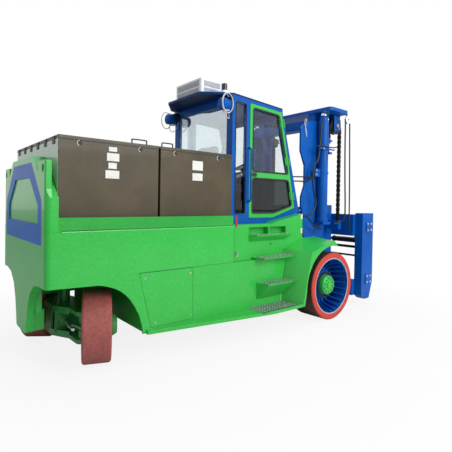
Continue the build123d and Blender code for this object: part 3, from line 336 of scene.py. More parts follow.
def rod(start: Vec, end: Vec, radius: float, bevel: float = 0.001, sides: int = 24) -> Surface:
    """Straight round bar with softened ends."""
    a, b = np.asarray(start, float), np.asarray(end, float)
    length = float(np.linalg.norm(b - a))
    inner, far = radius - bevel, length - bevel
    profile = ((0, 0), (0, inner), (bevel, radius), (far, radius), (length, inner), (length, 0))
    return revolved(profile, a, (b - a) / length, sides)


def bolt_heads(centres: Points, direction: Vec, across: float = 0.018,
               height: float = 0.009) -> Surface:
    """Hexagon heads on washers, one at each centre, standing out along `direction`."""
    d = np.asarray(direction, float)
    helper = np.array([0, 0, 1.0]) if abs(d[2]) < 0.9 else np.array([1.0, 0, 0])
    x_dir = np.cross(helper, d)
    x_dir /= np.linalg.norm(x_dir)
    y_dir = np.cross(d, x_dir)
    t = np.arange(6) * np.pi / 3
    hexagon = np.stack([np.cos(t), np.sin(t)], axis=1) * across / math.sqrt(3)
    washer = revolved(((0, 0), (0, across * 0.8), (height * 0.2, across * 0.8), (height * 0.2, 0)), (0, 0, 0), d, 12)
    head = plate(hexagon, d * height * 0.2, x_dir, y_dir, height * 0.8, height * 0.12)
    return copies(joined([washer, head]), np.asarray(centres, float))


def add_piece(name: str, shape: Surface, finish: str, body: str | None, slot: Slot | None = None,
              smooth_angle: float = 35.0) -> Piece:
    """Make a mesh object from a skin, dress it and let it ride on a body.

    Args:
        name: Name of the piece.
        shape: Its skin, in the frame's axes at rest.
        finish: Name of its finish in the paint shop.
        body: Body it moves with, or None for a piece left free of any body.
        slot: Slot of the record, where it isn't the finish's usual one; not used.
        smooth_angle: Edges sharper than this many degrees stay sharp.

    Returns:
        The new object.
    """
    mesh = bpy.data.meshes.new(name)
    mesh.from_pydata(shape.points.tolist(), [], [f for part in shape.faces for f in part.tolist()])
    work = bmesh.new()
    work.from_mesh(mesh)
    bmesh.ops.remove_doubles(work, verts=work.verts, dist=0.01 * MM)
    bmesh.ops.recalc_face_normals(work, faces=work.faces)
    work.to_mesh(mesh)
    work.free()
    mesh.polygons.foreach_set("use_smooth", np.ones(len(mesh.polygons), bool))
    mesh.set_sharp_from_angle(angle=math.radians(smooth_angle))
    mesh.materials.append(SHOP.get(finish))
    piece = bpy.data.objects.new(name, mesh)
    bpy.context.scene.collection.objects.link(piece)
    if body:
        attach(piece, body)
    LOG.info("%s: %d faces on %s", name, len(mesh.polygons), body or "two bodies")
    return piece


# Finishes


def linear(code: str, alpha: float = 1.0) -> tuple[float, float, float, float]:
    """Linear colour from an sRGB hex code."""
    c = np.array([int(code[k:k + 2], 16) for k in (1, 3, 5)]) / 255
    red, green, blue = np.where(c <= 0.04045, c / 12.92, ((c + 0.055) / 1.055) ** 2.4)
    return float(red), float(green), float(blue), alpha


def add_node(tree: Tree, kind: str, links: dict | None = None, **settings: object) -> bpy.types.Node:
    """Add a shader node.

    Args:
        tree: The tree it goes into.
        kind: Its type, without the ShaderNode in front.
        links: Which output feeds each input, by the input's name or number.
        settings: Values of its inputs or properties, with spaces as underscores.

    Returns:
        The node.
    """
    node = tree.nodes.new("ShaderNode" + kind)
    for key, value in settings.items():
        socket = key.replace("_", " ")
        if hasattr(node, key):
            setattr(node, key, value)
        else:
            node.inputs[socket].default_value = value
    for key, source in (links or {}).items():
        tree.links.new(source, node.inputs[key])
    return node


def new_tree(name: str) -> tuple[bpy.types.Material, Tree, Socket]:
    """Empty material, its tree and its Object coordinates."""
    material = bpy.data.materials.new(name)
    material.use_nodes = True
    tree = material.node_tree
    tree.nodes.clear()
    place = add_node(tree, "TexCoord").outputs["Object"]
    return material, tree, place


def set_shader(tree: Tree, links: dict, **settings: object) -> bpy.types.Node:
    """Principled shader joined to the material's output."""
    shader = add_node(tree, "BsdfPrincipled", links)
    for key, value in settings.items():
        shader.inputs[key.replace("_", " ")].default_value = value
    add_node(tree, "OutputMaterial", {"Surface": shader.outputs[0]})
    return shader


def noise(tree: Tree, place: Socket, size: float, detail: float = 2.0,
          roughness: float = 0.5) -> Socket:
    """Noise whose lumps are about `size` metres across."""
    node = add_node(tree, "TexNoise", {"Vector": place}, Scale=1 / size, Detail=detail, Roughness=roughness)
    return node.outputs["Fac"]


def ranged(tree: Tree, value: Socket, start: float, end: float, low: float = 0.0,
           high: float = 1.0, **settings: object) -> Socket:
    """The value carried from the range start to end into the range low to high."""
    node = add_node(tree, "MapRange", {"Value": value}, **settings)
    for key, number in (("From Min", start), ("From Max", end), ("To Min", low), ("To Max", high)):
        node.inputs[key].default_value = number
    return node.outputs[0]


def bumped(tree: Tree, height: Socket, strength: float, reach: float) -> Socket:
    """Normal that follows a height field."""
    return add_node(tree, "Bump", {"Height": height}, Strength=strength, Distance=reach).outputs[0]


def two_tone(tree: Tree, factor: Socket, low: str, high: str, start: float = 0.35,
             end: float = 0.65) -> Socket:
    """Blend of two colours as a factor goes from start to end."""
    ramp = add_node(tree, "ValToRGB", {"Fac": factor})
    ramp.color_ramp.elements[0].position = start
    ramp.color_ramp.elements[1].position = end
    ramp.color_ramp.elements[0].color = linear(low)
    ramp.color_ramp.elements[1].color = linear(high)
    return ramp.outputs["Color"]


@dataclass(frozen=True)
class SprayedEnamel:
    """Two-pack enamel sprayed on steel: a gloss coat over a faint orange peel, with soft patches and a dusty foot."""

    name: str
    colour: str
    patch: str
    dust: str = "#8D8F80"
    dust_share: float = 0.10
    gloss: float = 0.30
    coat: float = 0.25
    peel: float = 5 * MM
    patch_size: float = 350 * MM
    fleck: float = 0.38
    shine: float = 0.36

    def material(self) -> bpy.types.Material:
        """Colour in patches of `patch_size` with fine painted glints, dust rising from the floor, and an orange-peel
        bump.
        """
        material, tree, place = new_tree(self.name)
        colour = two_tone(tree, noise(tree, place, self.patch_size, 4.0), self.colour, self.patch)
        height = add_node(tree, "SeparateXYZ", {"Vector": place}).outputs["Z"]
        low = ranged(tree, height, 0.9, 0.2, 0, self.dust_share, interpolation_type="SMOOTHSTEP")
        share = add_node(tree, "Math", {0: low, 1: noise(tree, place, 14 * MM, 3.0)}, operation="MULTIPLY")
        dusty = add_node(tree, "Mix", {0: share.outputs[0], 6: colour}, data_type="RGBA")
        dusty.inputs[7].default_value = linear(self.dust)
        # Pale noise soft-lit into the colour: painted glint, fine light specks standing for sparkle on the paint.
        glint = two_tone(tree, noise(tree, place, 11 * MM, roughness=0.8), "#7A7A7A", "#FFFFFF", 0.54, 0.70)
        spark = add_node(tree, "Mix", {6: dusty.outputs[2], 7: glint}, data_type="RGBA", blend_type="SOFT_LIGHT")
        spark.inputs[0].default_value = self.fleck
        normal = bumped(tree, noise(tree, place, self.peel, 1.0), 0.06, 0.4 * MM)
        set_shader(tree, {"Base Color": spark.outputs[2], "Normal": normal}, Roughness=self.gloss,
                   Coat_Weight=self.coat, Coat_Roughness=0.06, Specular_IOR_Level=self.shine)
        return material


@dataclass(frozen=True)
class PolyurethaneBand:
    """Cast polyurethane press-on band: clean bright sides, and a tread rubbed dull and darker by the floor."""

    name: str
    side: str
    side_patch: str
    tread: str
    worn: str
    centre: tuple[float, float, float]
    axis: tuple[float, float, float]
    radius: float

    def material(self) -> bpy.types.Material:
        """The distance from the axle tells the tread from the sides; noise mottles the tread."""
        material, tree, place = new_tree(self.name)
        rel = add_node(tree, "VectorMath", {0: place}, operation="SUBTRACT")
        rel.inputs[1].default_value = self.centre
        along = add_node(tree, "VectorMath", {0: rel.outputs[0]}, operation="DOT_PRODUCT")
        along.inputs[1].default_value = self.axis
        axial = add_node(tree, "VectorMath", {"Scale": along.outputs["Value"]}, operation="SCALE")
        axial.inputs[0].default_value = self.axis
        spoke = add_node(tree, "VectorMath", {0: rel.outputs[0], 1: axial.outputs[0]}, operation="SUBTRACT")
        reach = add_node(tree, "VectorMath", {0: spoke.outputs[0]}, operation="LENGTH")
        rim = ranged(tree, reach.outputs["Value"], self.radius - 12 * MM, self.radius - 2 * MM)
        tread = two_tone(tree, noise(tree, place, 30 * MM, 6.0, 0.7), self.tread, self.worn, 0.40, 0.62)
        side = two_tone(tree, noise(tree, place, 120 * MM, 3.0), self.side, self.side_patch, 0.35, 0.65)
        mix = add_node(tree, "Mix", {0: rim, 6: side, 7: tread}, data_type="RGBA")
        normal = bumped(tree, noise(tree, place, 4 * MM), 0.12, 0.8 * MM)
        set_shader(tree, {"Base Color": mix.outputs[2], "Normal": normal}, Roughness=0.55)
        return material


@dataclass(frozen=True)
class TintedGlass:
    """Toughened float glass, faintly green, darker in the lower lights; the panes behind `film_x` mirror the sky."""

    name: str
    clear: str = "#F0F6F6"
    smoked: str = "#6F7C7C"
    split_z: float = 1.95
    film_x: float = 0.0
    film: float = 0.40

    def material(self) -> bpy.types.Material:
        """Clear above the door's middle rail, smoked below it; light for shadows passes straight through."""
        material, tree, place = new_tree(self.name)
        axes = add_node(tree, "SeparateXYZ", {"Vector": place})
        level = ranged(tree, axes.outputs["Z"], self.split_z - 0.01, self.split_z + 0.01)
        colour = two_tone(tree, level, self.smoked, self.clear, 0.0, 1.0)
        share = ranged(tree, axes.outputs["X"], self.film_x, self.film_x + 0.01, self.film, 0.0)
        pane = set_shader(tree, {"Base Color": colour}, Roughness=0.02, IOR=1.45, Transmission_Weight=1.0)
        mirror = add_node(tree, "BsdfGlossy", Color=linear("#E8F2F8"), Roughness=0.03)
        shader = add_node(tree, "MixShader", {0: share, 1: pane.outputs[0], 2: mirror.outputs[0]})
        clear = add_node(tree, "BsdfTransparent", {"Color": colour})
        shadow = add_node(tree, "LightPath").outputs["Is Shadow Ray"]
        mix = add_node(tree, "MixShader", {0: shadow, 1: shader.outputs[0], 2: clear.outputs[0]})
        output = next(node for node in tree.nodes if node.bl_idname == "ShaderNodeOutputMaterial")
        tree.links.new(mix.outputs[0], output.inputs["Surface"])
        return material


@dataclass(frozen=True)
class MachinedMetal:
    """Bare metal: ground, plated or oiled, with a fine directionless grain."""

    name: str
    colour: str
    patch: str
    gloss: float
    metallic: float = 1.0
    grain: float = 3 * MM
    grain_depth: float = 0.05

    def material(self) -> bpy.types.Material:
        """Two close tones in patches and a light grain."""
        material, tree, place = new_tree(self.name)
        colour = two_tone(tree, noise(tree, place, 40 * MM, 4.0), self.colour, self.patch)
        normal = bumped(tree, noise(tree, place, self.grain), self.grain_depth, 0.5 * MM)
        set_shader(tree, {"Base Color": colour, "Normal": normal}, Roughness=self.gloss, Metallic=self.metallic)
        return material


@dataclass(frozen=True)
class MouldedPlastic:
    """Moulded plastic or rubber with a fine grain; the grain is drawn coarse enough to show."""

    name: str
    colour: str
    patch: str
    gloss: float = 0.5
    grain: float = 2.5 * MM
    depth: float = 0.10

    def material(self) -> bpy.types.Material:
        """Two close tones and a grain bump."""
        material, tree, place = new_tree(self.name)
        colour = two_tone(tree, noise(tree, place, 90 * MM, 3.0), self.colour, self.patch)
        grain = add_node(tree, "TexVoronoi", {"Vector": place}, Scale=1 / self.grain)
        normal = bumped(tree, grain.outputs["Distance"], self.depth, 0.4 * MM)
        set_shader(tree, {"Base Color": colour, "Normal": normal}, Roughness=self.gloss)
        return material


@dataclass(frozen=True)
class WovenCloth:
    """Hard-wearing seat cloth; threads of a few millimetres are drawn so that the weave shows."""

    name: str
    colour: str
    patch: str
    thread: float = 3 * MM

    def material(self) -> bpy.types.Material:
        """Two crossed waves of the thread's size make the weave."""
        material, tree, place = new_tree(self.name)
        warp = add_node(tree, "TexWave", {"Vector": place}, Scale=0.5 / self.thread / math.pi, bands_direction="Y")
        weft = add_node(tree, "TexWave", {"Vector": place}, Scale=0.5 / self.thread / math.pi, bands_direction="X")
        weave = add_node(tree, "Math", {0: warp.outputs["Fac"], 1: weft.outputs["Fac"]}, operation="MULTIPLY")
        colour = two_tone(tree, weave.outputs[0], self.colour, self.patch, 0.2, 0.8)
        normal = bumped(tree, weave.outputs[0], 0.3, 0.6 * MM)
        set_shader(tree, {"Base Color": colour, "Normal": normal}, Roughness=0.9, Sheen_Weight=0.3)
        return material


class PaintShop:
    """Makes each finish once and hands it out; each stands in the table with its usual slot."""

    FINISHES = {
        "green": (SprayedEnamel("green enamel on steel plate", "#34BE4B", "#38C24F"), Slot.GREEN),
        # Lighter green with a strong coat: painted highlight for the bright line along the belt's lower edge.
        "green_painted_highlight": (SprayedEnamel("green enamel, bright on a rolled edge",
            "#63D873", "#6FE07E", coat=0.8), Slot.GREEN),
        # Darker green on the belt band: painted shade of the same enamel as the side below it.
        "green_belt_shade": (SprayedEnamel("green enamel on the belt casting", "#27A83E", "#2FB347"), Slot.GREEN),
        # Darker green for the steering parts and rims in the wheel well: painted shade, with more dust low down.
        "green_wheel_well_shade": (SprayedEnamel("green enamel, oily underside",
            "#238038", "#2E9445", dust_share=0.2, gloss=0.4), Slot.GREEN),
        "green_pale": (SprayedEnamel("pale green battery end plate", "#A9BFAE", "#B6C9B8", fleck=0.02), Slot.GREEN),
        "blue": (SprayedEnamel("blue enamel on steel plate",
            "#0A5BB2", "#0E64BE", gloss=0.36, coat=0.04, shine=0.14, dust_share=0.04), Slot.BLUE),
        # Lighter blue on the rear trim: painted light, lifting the same enamel where it stands in shade.
        "blue_painted_light": (SprayedEnamel("blue enamel on the rear trim",
            "#166AC4", "#1B70CA", gloss=0.4, coat=0.04, shine=0.14), Slot.BLUE),
        "navy": (SprayedEnamel("blue enamel in the shade of the roof",
            "#0A2C62", "#0D346E", gloss=0.40, coat=0.04, shine=0.14), Slot.BLUE),
        "black_paint": (SprayedEnamel("black chassis enamel",
            "#16181A", "#1E2022", gloss=0.45, coat=0.1), Slot.BLACK),
        "battery": (SprayedEnamel("acid-proof brown-grey enamel",
            "#4B422F", "#5A4F39", gloss=0.45, coat=0.08, shine=0.3), Slot.BATTERY),
        "seam": (MouldedPlastic("shadow gap, sealed dark", "#12301A", "#173820", 0.8), Slot.GREEN),
        "glass": (TintedGlass("toughened float glass", film_x=AXLE_X - 1.41), Slot.GLASS),
        # Black rubber of the gaskets; also the black discs that paint the shade inside the battery eye holes.
        "gasket": (MouldedPlastic("black door rubber", "#141517", "#1A1B1C", 0.6), Slot.BLACK),
        "hose": (MouldedPlastic("hydraulic hose rubber", "#111213", "#18191A", 0.5), Slot.BLACK),
        "cable": (MouldedPlastic("white cable sleeve", "#D6D9D9", "#E2E4E4", 0.5), Slot.WHITE),
        "white_plastic": (MouldedPlastic("white moulded housing", "#ECEFF0", "#F4F6F7", 0.4), Slot.WHITE),
        # Grey set behind the louvre slats: painted shade between the slats.
        "louvre": (MouldedPlastic("grey louvre inset", "#8B9297", "#999FA3", 0.6), Slot.WHITE),
        "black_plastic": (MouldedPlastic("black moulded plastic", "#17181A", "#202224", 0.5), Slot.BLACK),
        "label": (MouldedPlastic("blank vinyl label", "#DCDDD6", "#E6E7E1", 0.45, depth=0.0), Slot.WHITE),
        "red_plastic": (MouldedPlastic("red moulded cap", "#B02A22", "#BE362C", 0.4), Slot.BLACK),
        "blue_plastic": (MouldedPlastic("blue moulded cap", "#2456A8", "#2C62B8", 0.4), Slot.BLACK),
        "amber": (MouldedPlastic("smoked beacon lens", "#1A1B1D", "#232529", 0.15, depth=0.02), Slot.AMBER),
        "lens": (MouldedPlastic("frosted lamp lens", "#C9D3DA", "#D8E0E6", 0.12, depth=0.03), Slot.GLASS),
        "chrome": (MachinedMetal("hard chrome on a ground rod", "#D5D8D8", "#C8CCCC", 0.12), Slot.BRIGHT),
        "zinc": (MachinedMetal("zinc-plated steel", "#C4C8C9", "#AEB2B4", 0.38, metallic=0.6), Slot.BRIGHT),
        "tread": (MachinedMetal("galvanised checker plate",
            "#4F6B5A", "#5E7A68", 0.42, metallic=0.3, grain=6 * MM, grain_depth=0.2), Slot.BRIGHT),
        # Near-white lozenges: boot wear together with a painted highlight on the raised studs.
        "stud": (MachinedMetal("checker studs, bright from boots",
            "#EEF1F1", "#DDE2E2", 0.35, metallic=0.2), Slot.BRIGHT),
        "chain": (MachinedMetal("oiled leaf chain", "#2C2B2A", "#3A3937", 0.42, metallic=0.8), Slot.CHAIN),
        "cloth": (WovenCloth("seat cloth", "#3A3E44", "#4A4F57"), Slot.CLOTH),
        "red_cloth": (WovenCloth("red webbing", "#B01E24", "#C4262C"), Slot.CLOTH),
    }

    def __init__(self) -> None:
        """Start with no material made."""
        self.made: dict[str, bpy.types.Material] = {}

    def get(self, name: str) -> bpy.types.Material:
        """The material of that name, made when first asked for."""
        if name not in self.made:
            self.made[name] = self.FINISHES[name][0].material()
        return self.made[name]

    def slot(self, name: str) -> Slot:
        """The slot of the record that a finish usually stands for."""
        return self.FINISHES[name][1]


SHOP = PaintShop()


def dress_node(node: str, finish: bpy.types.Material) -> None:
    """Give a CAD node a finish in place of its packed one."""
    mesh = frame["nodes"][node].data
    mesh.materials.clear()
    mesh.materials.append(finish)


# Sub-assemblies


@dataclass
class Part:
    """What the sub-assemblies share: shapes and places in millimetres, with X counted from the front axle.

    Y is given as on the left side, and is mirrored on the right one.
    """

    side: Side = Side.LEFT

    @property
    def out(self) -> Array:
        """Direction away from the machine's middle."""
        return np.array([0.0, self.side.value, 0.0])

    def mm(self, *points: Vec) -> Array:
        """The points in metres in the frame's axes, one row each."""
        return places(points) * np.array([1, self.side.value, 1])

    def point(self, x: float, y: float, z: float) -> Array:
        """One point in metres in the frame's axes."""
        return self.mm((x, y, z))[0]

    def block(self, low: Vec, high: Vec, bevel: float = 2, corner: float = 0) -> Surface:
        """Block between two corners."""
        return block(*self.mm(low, high), bevel * MM, corner * MM)

    def bar(self, start: Vec, end: Vec, radius: float, bevel: float = 1,
            sides: int = 24) -> Surface:
        """Round bar between two points."""
        return rod(*self.mm(start, end), radius * MM, bevel * MM, sides)

    def band(self, start: Vec, end: Vec, width: float, depth: float) -> Surface:
        """Flat bar that stands out from the side."""
        return strip(*self.mm(start, end), self.out, width * MM, depth * MM)

    def pipe(self, points: Points, radius: float, sides: int = 12, per_span: int = 8) -> Surface:
        """Round line on a smooth curve through the points."""
        return tube(smooth_path(self.mm(*points), per_span), radius * MM, sides)

    def lathe(self, profile: Points, centre: Vec, axis: Vec,
              segments: int = 48, closed: bool = True) -> Surface:
        """Profile carried round an axis through a point."""
        return revolved(np.array(profile) * MM, self.point(*centre), axis, segments, closed)

    def heads(self, spots: Points, axis: Vec, across: float, height: float) -> Surface:
        """Hexagon heads at the spots."""
        return bolt_heads(self.mm(*spots), axis, across * MM, height * MM)

    def put(self, name: str, shapes: Surface | list[Surface], finish: str, body: str | None = "chassis",
            slot: Slot | None = None) -> Piece:
        """Add one piece, named after its side, from a shape or from several joined."""
        shape = joined(shapes) if isinstance(shapes, list) else shapes
        return add_piece(f"{name}_{self.side.word}", shape, finish, body, slot)

    def bend(self, piece: Piece, first: str, second: str, start: Vec, end: Vec) -> None:
        """Work out the two points, then bake the piece's transform into its mesh."""
        tuple(self.point(*start))
        tuple(self.point(*end))
        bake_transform(piece)


@dataclass
class CadDress:
    """Finishes of the CAD nodes that stay in view."""

    groups: tuple[tuple[str, str], ...] = (
        ("green", "cab_base chassis counterweight fenders running_boards side_panels steps door_left door_right "
                  "front_hub_left front_hub_right"),
        # The belt band takes the darker green as painted shade.
        ("green_belt_shade", "battery_bay"),
        ("blue", "cab_floor cab_front_frame cab_rear_frame cab_roof cab_side_frames carriage_frame carriage_plates "
                 "front_rim_left front_rim_right grab_handles lift_barrels mast_inner mast_outer tilt_barrel_left "
                 "tilt_barrel_right work_lights"),
        # The rear trim takes the lighter blue as painted light.
        ("blue_painted_light", "rear_trim"),
        # The steering parts in the wheel well take the darker green as painted shade.
        ("green_wheel_well_shade", "steer_axle steer_cylinder knuckle_left knuckle_right rear_rim_left rear_rim_right "
                       "steer_link_left steer_link_right"),
        ("battery", "battery_front battery_rear"),
        ("black_paint", "carriage_rods drive_axle"),
        ("chrome", "lift_rods steer_rod tilt_rod_left tilt_rod_right"),
        ("chain", "sheaves chain_front chain_rear"),
        ("glass", "cab_glass door_left_glass door_right_glass"),
        ("cloth", "seat"),
        ("black_plastic", "steering_console"),
        ("white_plastic", "ac_unit"),
        ("amber", "beacon"))

    def build(self) -> None:
        """Hand each group its finish."""
        for finish, nodes in self.groups:
            for node in nodes.split():
                dress_node(node, SHOP.get(finish))


@dataclass
class FrontWheel(Part):
    """Press-on wheel with a ring of hub bolts and a bright, zinc-coloured rim edge."""

    bolt_circle: float = 166.0
    bolts: int = 28
    face_circle: float = 95.0
    face_bolts: int = 10
    carrier: Pairs = ((47, 131), (47, 190), (134, 190), (140, 184), (140, 131))
    cap: Pairs = ((0, 0), (0, 48), (10, 46), (14, 38), (14, 0))

    def build(self) -> None:
        """Dress the band and add the bolts and the bright rim edge."""
        word, body = self.side.word, f"wheel_front_{self.side.word}"
        low, high = corner_box(f"front_tyre_{word}")
        centre = (low + high) / 2
        band = PolyurethaneBand(f"cast polyurethane, front {word}", "#C4321F", "#CC3A28", "#3A211E", "#4C2C27",
                                tuple(centre), tuple(self.out), float(high[2] - low[2]) / 2)
        dress_node(f"front_tyre_{word}", band.material())
        face = float(high[1] - low[1]) / 2 / MM
        rim = float(corner_box(f"front_rim_{word}")[1][2] - centre[2]) / MM
        edge = ((face - 9, rim - 18), (face - 5, rim - 17), (face - 2, rim - 9), (face - 4, rim), (face - 9, rim))
        # Zinc-coloured ring along the lip of the blue rim.
        self.put("rim_edge", revolved(np.array(edge) * MM, centre, self.out, 96, closed=True), "zinc", body, Slot.BLUE)
        hub = corner_box(f"front_hub_{word}")
        inner, outer = (hub[0][1], hub[1][1])[::self.side.value]
        root = np.array([centre[0], inner, centre[2]])
        self.put("hub_ring", revolved(np.array(self.carrier) * MM, root, self.out, 64, closed=True), "blue", body)
        flange = root + self.out * self.carrier[-1][0] * MM + np.array([0, 0, self.bolt_circle * MM])
        ring = ring_of(bolt_heads([flange], self.out, 25 * MM, 18 * MM), centre, self.out, self.bolts)
        self.put("hub_bolts", ring, "black_paint", body)
        nose = np.array([centre[0], outer, centre[2]])
        head = bolt_heads([nose + np.array([0, 0, self.face_circle * MM])], self.out, 26 * MM, 14 * MM)
        self.put("hub_face", [ring_of(head, centre, self.out, self.face_bolts),
                              revolved(np.array(self.cap) * MM, nose, self.out, 40)], "green", body)


@dataclass
class RearWheel(Part):
    """Steered wheel with a mottled, worn band."""

    def build(self) -> None:
        """Dress the band from the wheel's own joint."""
        word = self.side.word
        joint = next(j for j in frame["joints"] if j["name"] == f"wheel_rear_{word}")
        low, high = corner_box(f"rear_tyre_{word}")
        band = PolyurethaneBand(f"cast polyurethane, rear {word}", "#B23A34", "#A8504C", "#A65650", "#8E4742",
                                tuple(joint["pos_m"]), tuple(joint["axis"]), float(high[2] - low[2]) / 2)
        dress_node(f"rear_tyre_{word}", band.material())


@dataclass
class BodySide(Part):
    """Service cover, seams, latch, strap and screws on one side of the body."""

    gap: float = 3.0
    cover: Pairs = ((-2775, 878), (-2140, 878), (-2132, 322), (-2640, 322))
    screws: Pairs = ((-2709, 821), (-2171, 821), (-2163, 366), (-2589, 360))
    seams: Quads = (
        (-2775, 883, -1552, 883), (-1552, 883, -1552, 1296), (-1552, 883, -1200, 883))
    plates: Pairs = ((-262, 1405), (-262, 1208))

    def build(self) -> None:
        """Lay the cover with its dark gap on the side panel, and add the small parts round it."""
        nodes = ("side_panels", "cab_base", "battery_bay")
        skin_y, base_y, belt_y = (float(corner_box(node)[1][1]) / MM for node in nodes)
        edges = [(*a, *b) for a, b in zip(self.cover, self.cover[1:] + self.cover[:1])]
        self.put("body_seams", [self.band((x0, skin_y, z0), (x1, skin_y, z1), self.gap, 0.8)
                                for x0, z0, x1, z1 in list(self.seams) + edges], "seam")
        self.put("cover_screws", self.heads([(x, skin_y, z) for x, z in self.screws], self.out, 12.6, 6), "zinc")
        self.put("body_latch", [self.block((-1490, base_y, 935), (-1464, base_y + 14, 992), 3),
                                self.bar((-1477, base_y + 20, 955), (-1477, base_y + 20, 1004), 6)], "zinc")
        self.put("body_plug", self.bar((-879, base_y, 1059), (-879, base_y + 6, 1059), 9), "black_plastic")
        # Lighter green bead: painted highlight along the belt's lower edge.
        self.put("belt_bead", self.bar((-3500, belt_y, 1305), (-1570, belt_y, 1305), 5, 1, 12), "green_painted_highlight")
        self.put("belt_shadow", self.band((-3500, belt_y, 1315), (-1566, belt_y, 1315), 5, 1), "seam")
        if self.side is Side.LEFT:
            # The guard plates take the darker green as painted shade inside the wheel well.
            guard = joined([self.block((-3066, 118, 360), (-2722, 134, 884), 3),
                            self.block((-3150, 119, 580), (-3062, 133, 884), 3)])
            add_piece("well_guard", guard, "green_wheel_well_shade", "chassis")
        self.put("red_strap", self.band((-1480, base_y, 1425), (-1480, base_y, 1290), 30, 4), "red_cloth")
        self.put("edge_plates", [self.block((x - 16, base_y, z - 34), (x + 16, base_y + 3, z + 34), 1)
                                 for x, z in self.plates], "label")


@dataclass
class Batteries(Part):
    """Blank labels, lifting eyes and handrail loops on one side of the two battery boxes."""

    labels: Quads = (
        (-3067, 2046, -2987, 2088), (-3085, 1956, -2964, 2030), (-3070, 1884, -2988, 1940), (-3098, 1792, -2962, 1868),
        (-2116, 1934, -1976, 2036), (-2114, 1820, -1978, 1900))
    eyes: Pairs = ((-3336, 2094), (-2738, 2094), (-2335, 2094), (-1752, 2094))
    loops: Pairs = ((-2801, -2640), (-2460, -2330))
    lids: Pairs = ((-3516, -2541), (-2511, -1550))
    lid_lip: float = 4.0
    rail_y: float = 700.0

    def build(self) -> None:
        """Put everything on the outer face of the boxes, which stands a lid's lip inside the node's box."""
        face, y = float(corner_box("battery_rear")[1][1]) / MM - self.lid_lip, self.rail_y
        self.put("battery_labels", [self.block((x0, face, z0), (x1, face + 1.5, z1), 0.5)
                                    for x0, z0, x1, z1 in self.labels], "label")
        t = np.linspace(0.55 * np.pi, 1.45 * np.pi, 14)
        arc = np.stack([23 * np.cos(t), face + 0 * t, 23 * np.sin(t)], axis=1)
        self.put("battery_eye_rings", [tube(self.mm(*(arc + (x, 0, z))), 3 * MM, 8) for x, z in self.eyes], "label",
                 slot=Slot.BRIGHT)
        # Black discs over the eyes: painted shade of the holes' dark inside.
        holes = [self.bar((x, face, z), (x, face + 2, z), 21, 0.4) for x, z in self.eyes]
        self.put("battery_eye_holes", holes, "gasket")
        self.put("battery_rails", [self.pipe([(x0, y, 2140), (x0, y, 2185), (x0 + 12, y, 2199), (x1 - 12, y, 2199),
                                              (x1, y, 2185), (x1, y, 2140)], 7, per_span=6) for x0, x1 in self.loops],
                 "black_plastic")
        for colour, x in (("red", -2474), ("blue", -1689)):
            add_piece(f"battery_cap_{colour}_{self.side.word}", self.bar((x, face, 2100), (x, face + 4, 2100), 10),
                      f"{colour}_plastic", "chassis")
        # Black band under each lid's lip: painted shadow of the lip.
        self.put("battery_lid_gap", [self.band((x0, face, 2117), (x1, face, 2117), 9, 1.5) for x0, x1 in self.lids],
                 "black_plastic")


@dataclass
class RoofUnit(Part):
    """Louvres of the air conditioner, the pale rear end plate of the batteries and the dark roof edge."""

    pitch: float = 11 * MM
    brim: Pairs = ((-1446, -652), (-1560, -593), (-1782, -422), (-1782, 302), (-1560, 593),
                                             (-1446, 652))
    brim_z: float = 2898.5
    clips: tuple[float, ...] = (-680, -420, -160, 100, 360, 620)
    clip_width: float = 62.0

    def louvres(self) -> None:
        """Slats stand at an even pitch in front of grey insets, painted shade behind the slats, on the unit's rear and
        side faces.
        """
        low, high = corner_box("ac_unit")
        thin, edge, slat = 1 * MM, 46 * MM, 48 * MM
        insets, slats = [], []
        for z0, z1 in ((low[2] + 22 * MM, low[2] + 80 * MM), (low[2] + 102 * MM, high[2] - 24 * MM)):
            rows = np.arange(z0 + 6 * MM, z1 - 3 * MM, self.pitch)
            offsets = np.stack([rows * 0, rows * 0, rows], axis=1)
            insets.append(block((low[0] - thin, low[1] + edge, z0), (low[0], high[1] - edge, z1), 0.3 * MM))
            bar = block((low[0] - 5 * MM, low[1] + slat, 0), (low[0] - thin, high[1] - slat, 4 * MM), 0.5 * MM)
            slats.append(copies(bar, offsets))
            for y, sign in ((low[1], -1), (high[1], 1)):
                insets.append(block((low[0] + edge, y, z0), (high[0] - edge, y + sign * thin, z1), 0.3 * MM))
                bar = block((low[0] + slat, y + sign * thin, 0), (high[0] - slat, y + sign * 5 * MM, 4 * MM), 0.5 * MM)
                slats.append(copies(bar, offsets))
        # The grey insets are painted shade behind the slats.
        add_piece("ac_insets", joined(insets), "louvre", "chassis")
        add_piece("ac_slats", joined(slats), "white_plastic", "chassis")

    def build(self) -> None:
        """Build what stands across the machine's top."""
        self.louvres()
        brim = self.mm(*((x, y, 0) for x, y in self.brim))[:, :2]
        edge = plate(brim, (0, 0, self.brim_z * MM), (1, 0, 0), (0, 1, 0), 26 * MM, 1 * MM)
        add_piece("roof_brim", edge, "navy", "chassis")
        low, high = corner_box("beacon")
        foot = np.array(((0, 0), (0, 46), (26, 45), (30, 42), (30, 0))) * MM
        ring = revolved(foot, (*(low + high)[:2] / 2, low[2]), (0, 0, 1), 32)
        add_piece("beacon_foot", ring, "white_plastic", "chassis")
        low, high = corner_box("battery_rear")
        end = block(low + np.array([-1, 14, 60]) * MM, (low[0] + 4 * MM, high[1] - 14 * MM, high[2] - 32 * MM))
        add_piece("battery_end_plate", end, "green_pale", "chassis")
        x0, x1, z0, z1 = low[0] - 8 * MM, low[0] + 2 * MM, high[2] - 74 * MM, high[2] - 4 * MM
        clips = [block((x0, y * MM, z0), (x1, (y + self.clip_width) * MM, z1), 3 * MM) for y in self.clips]
        add_piece("battery_clips", joined(clips), "black_plastic", "chassis")


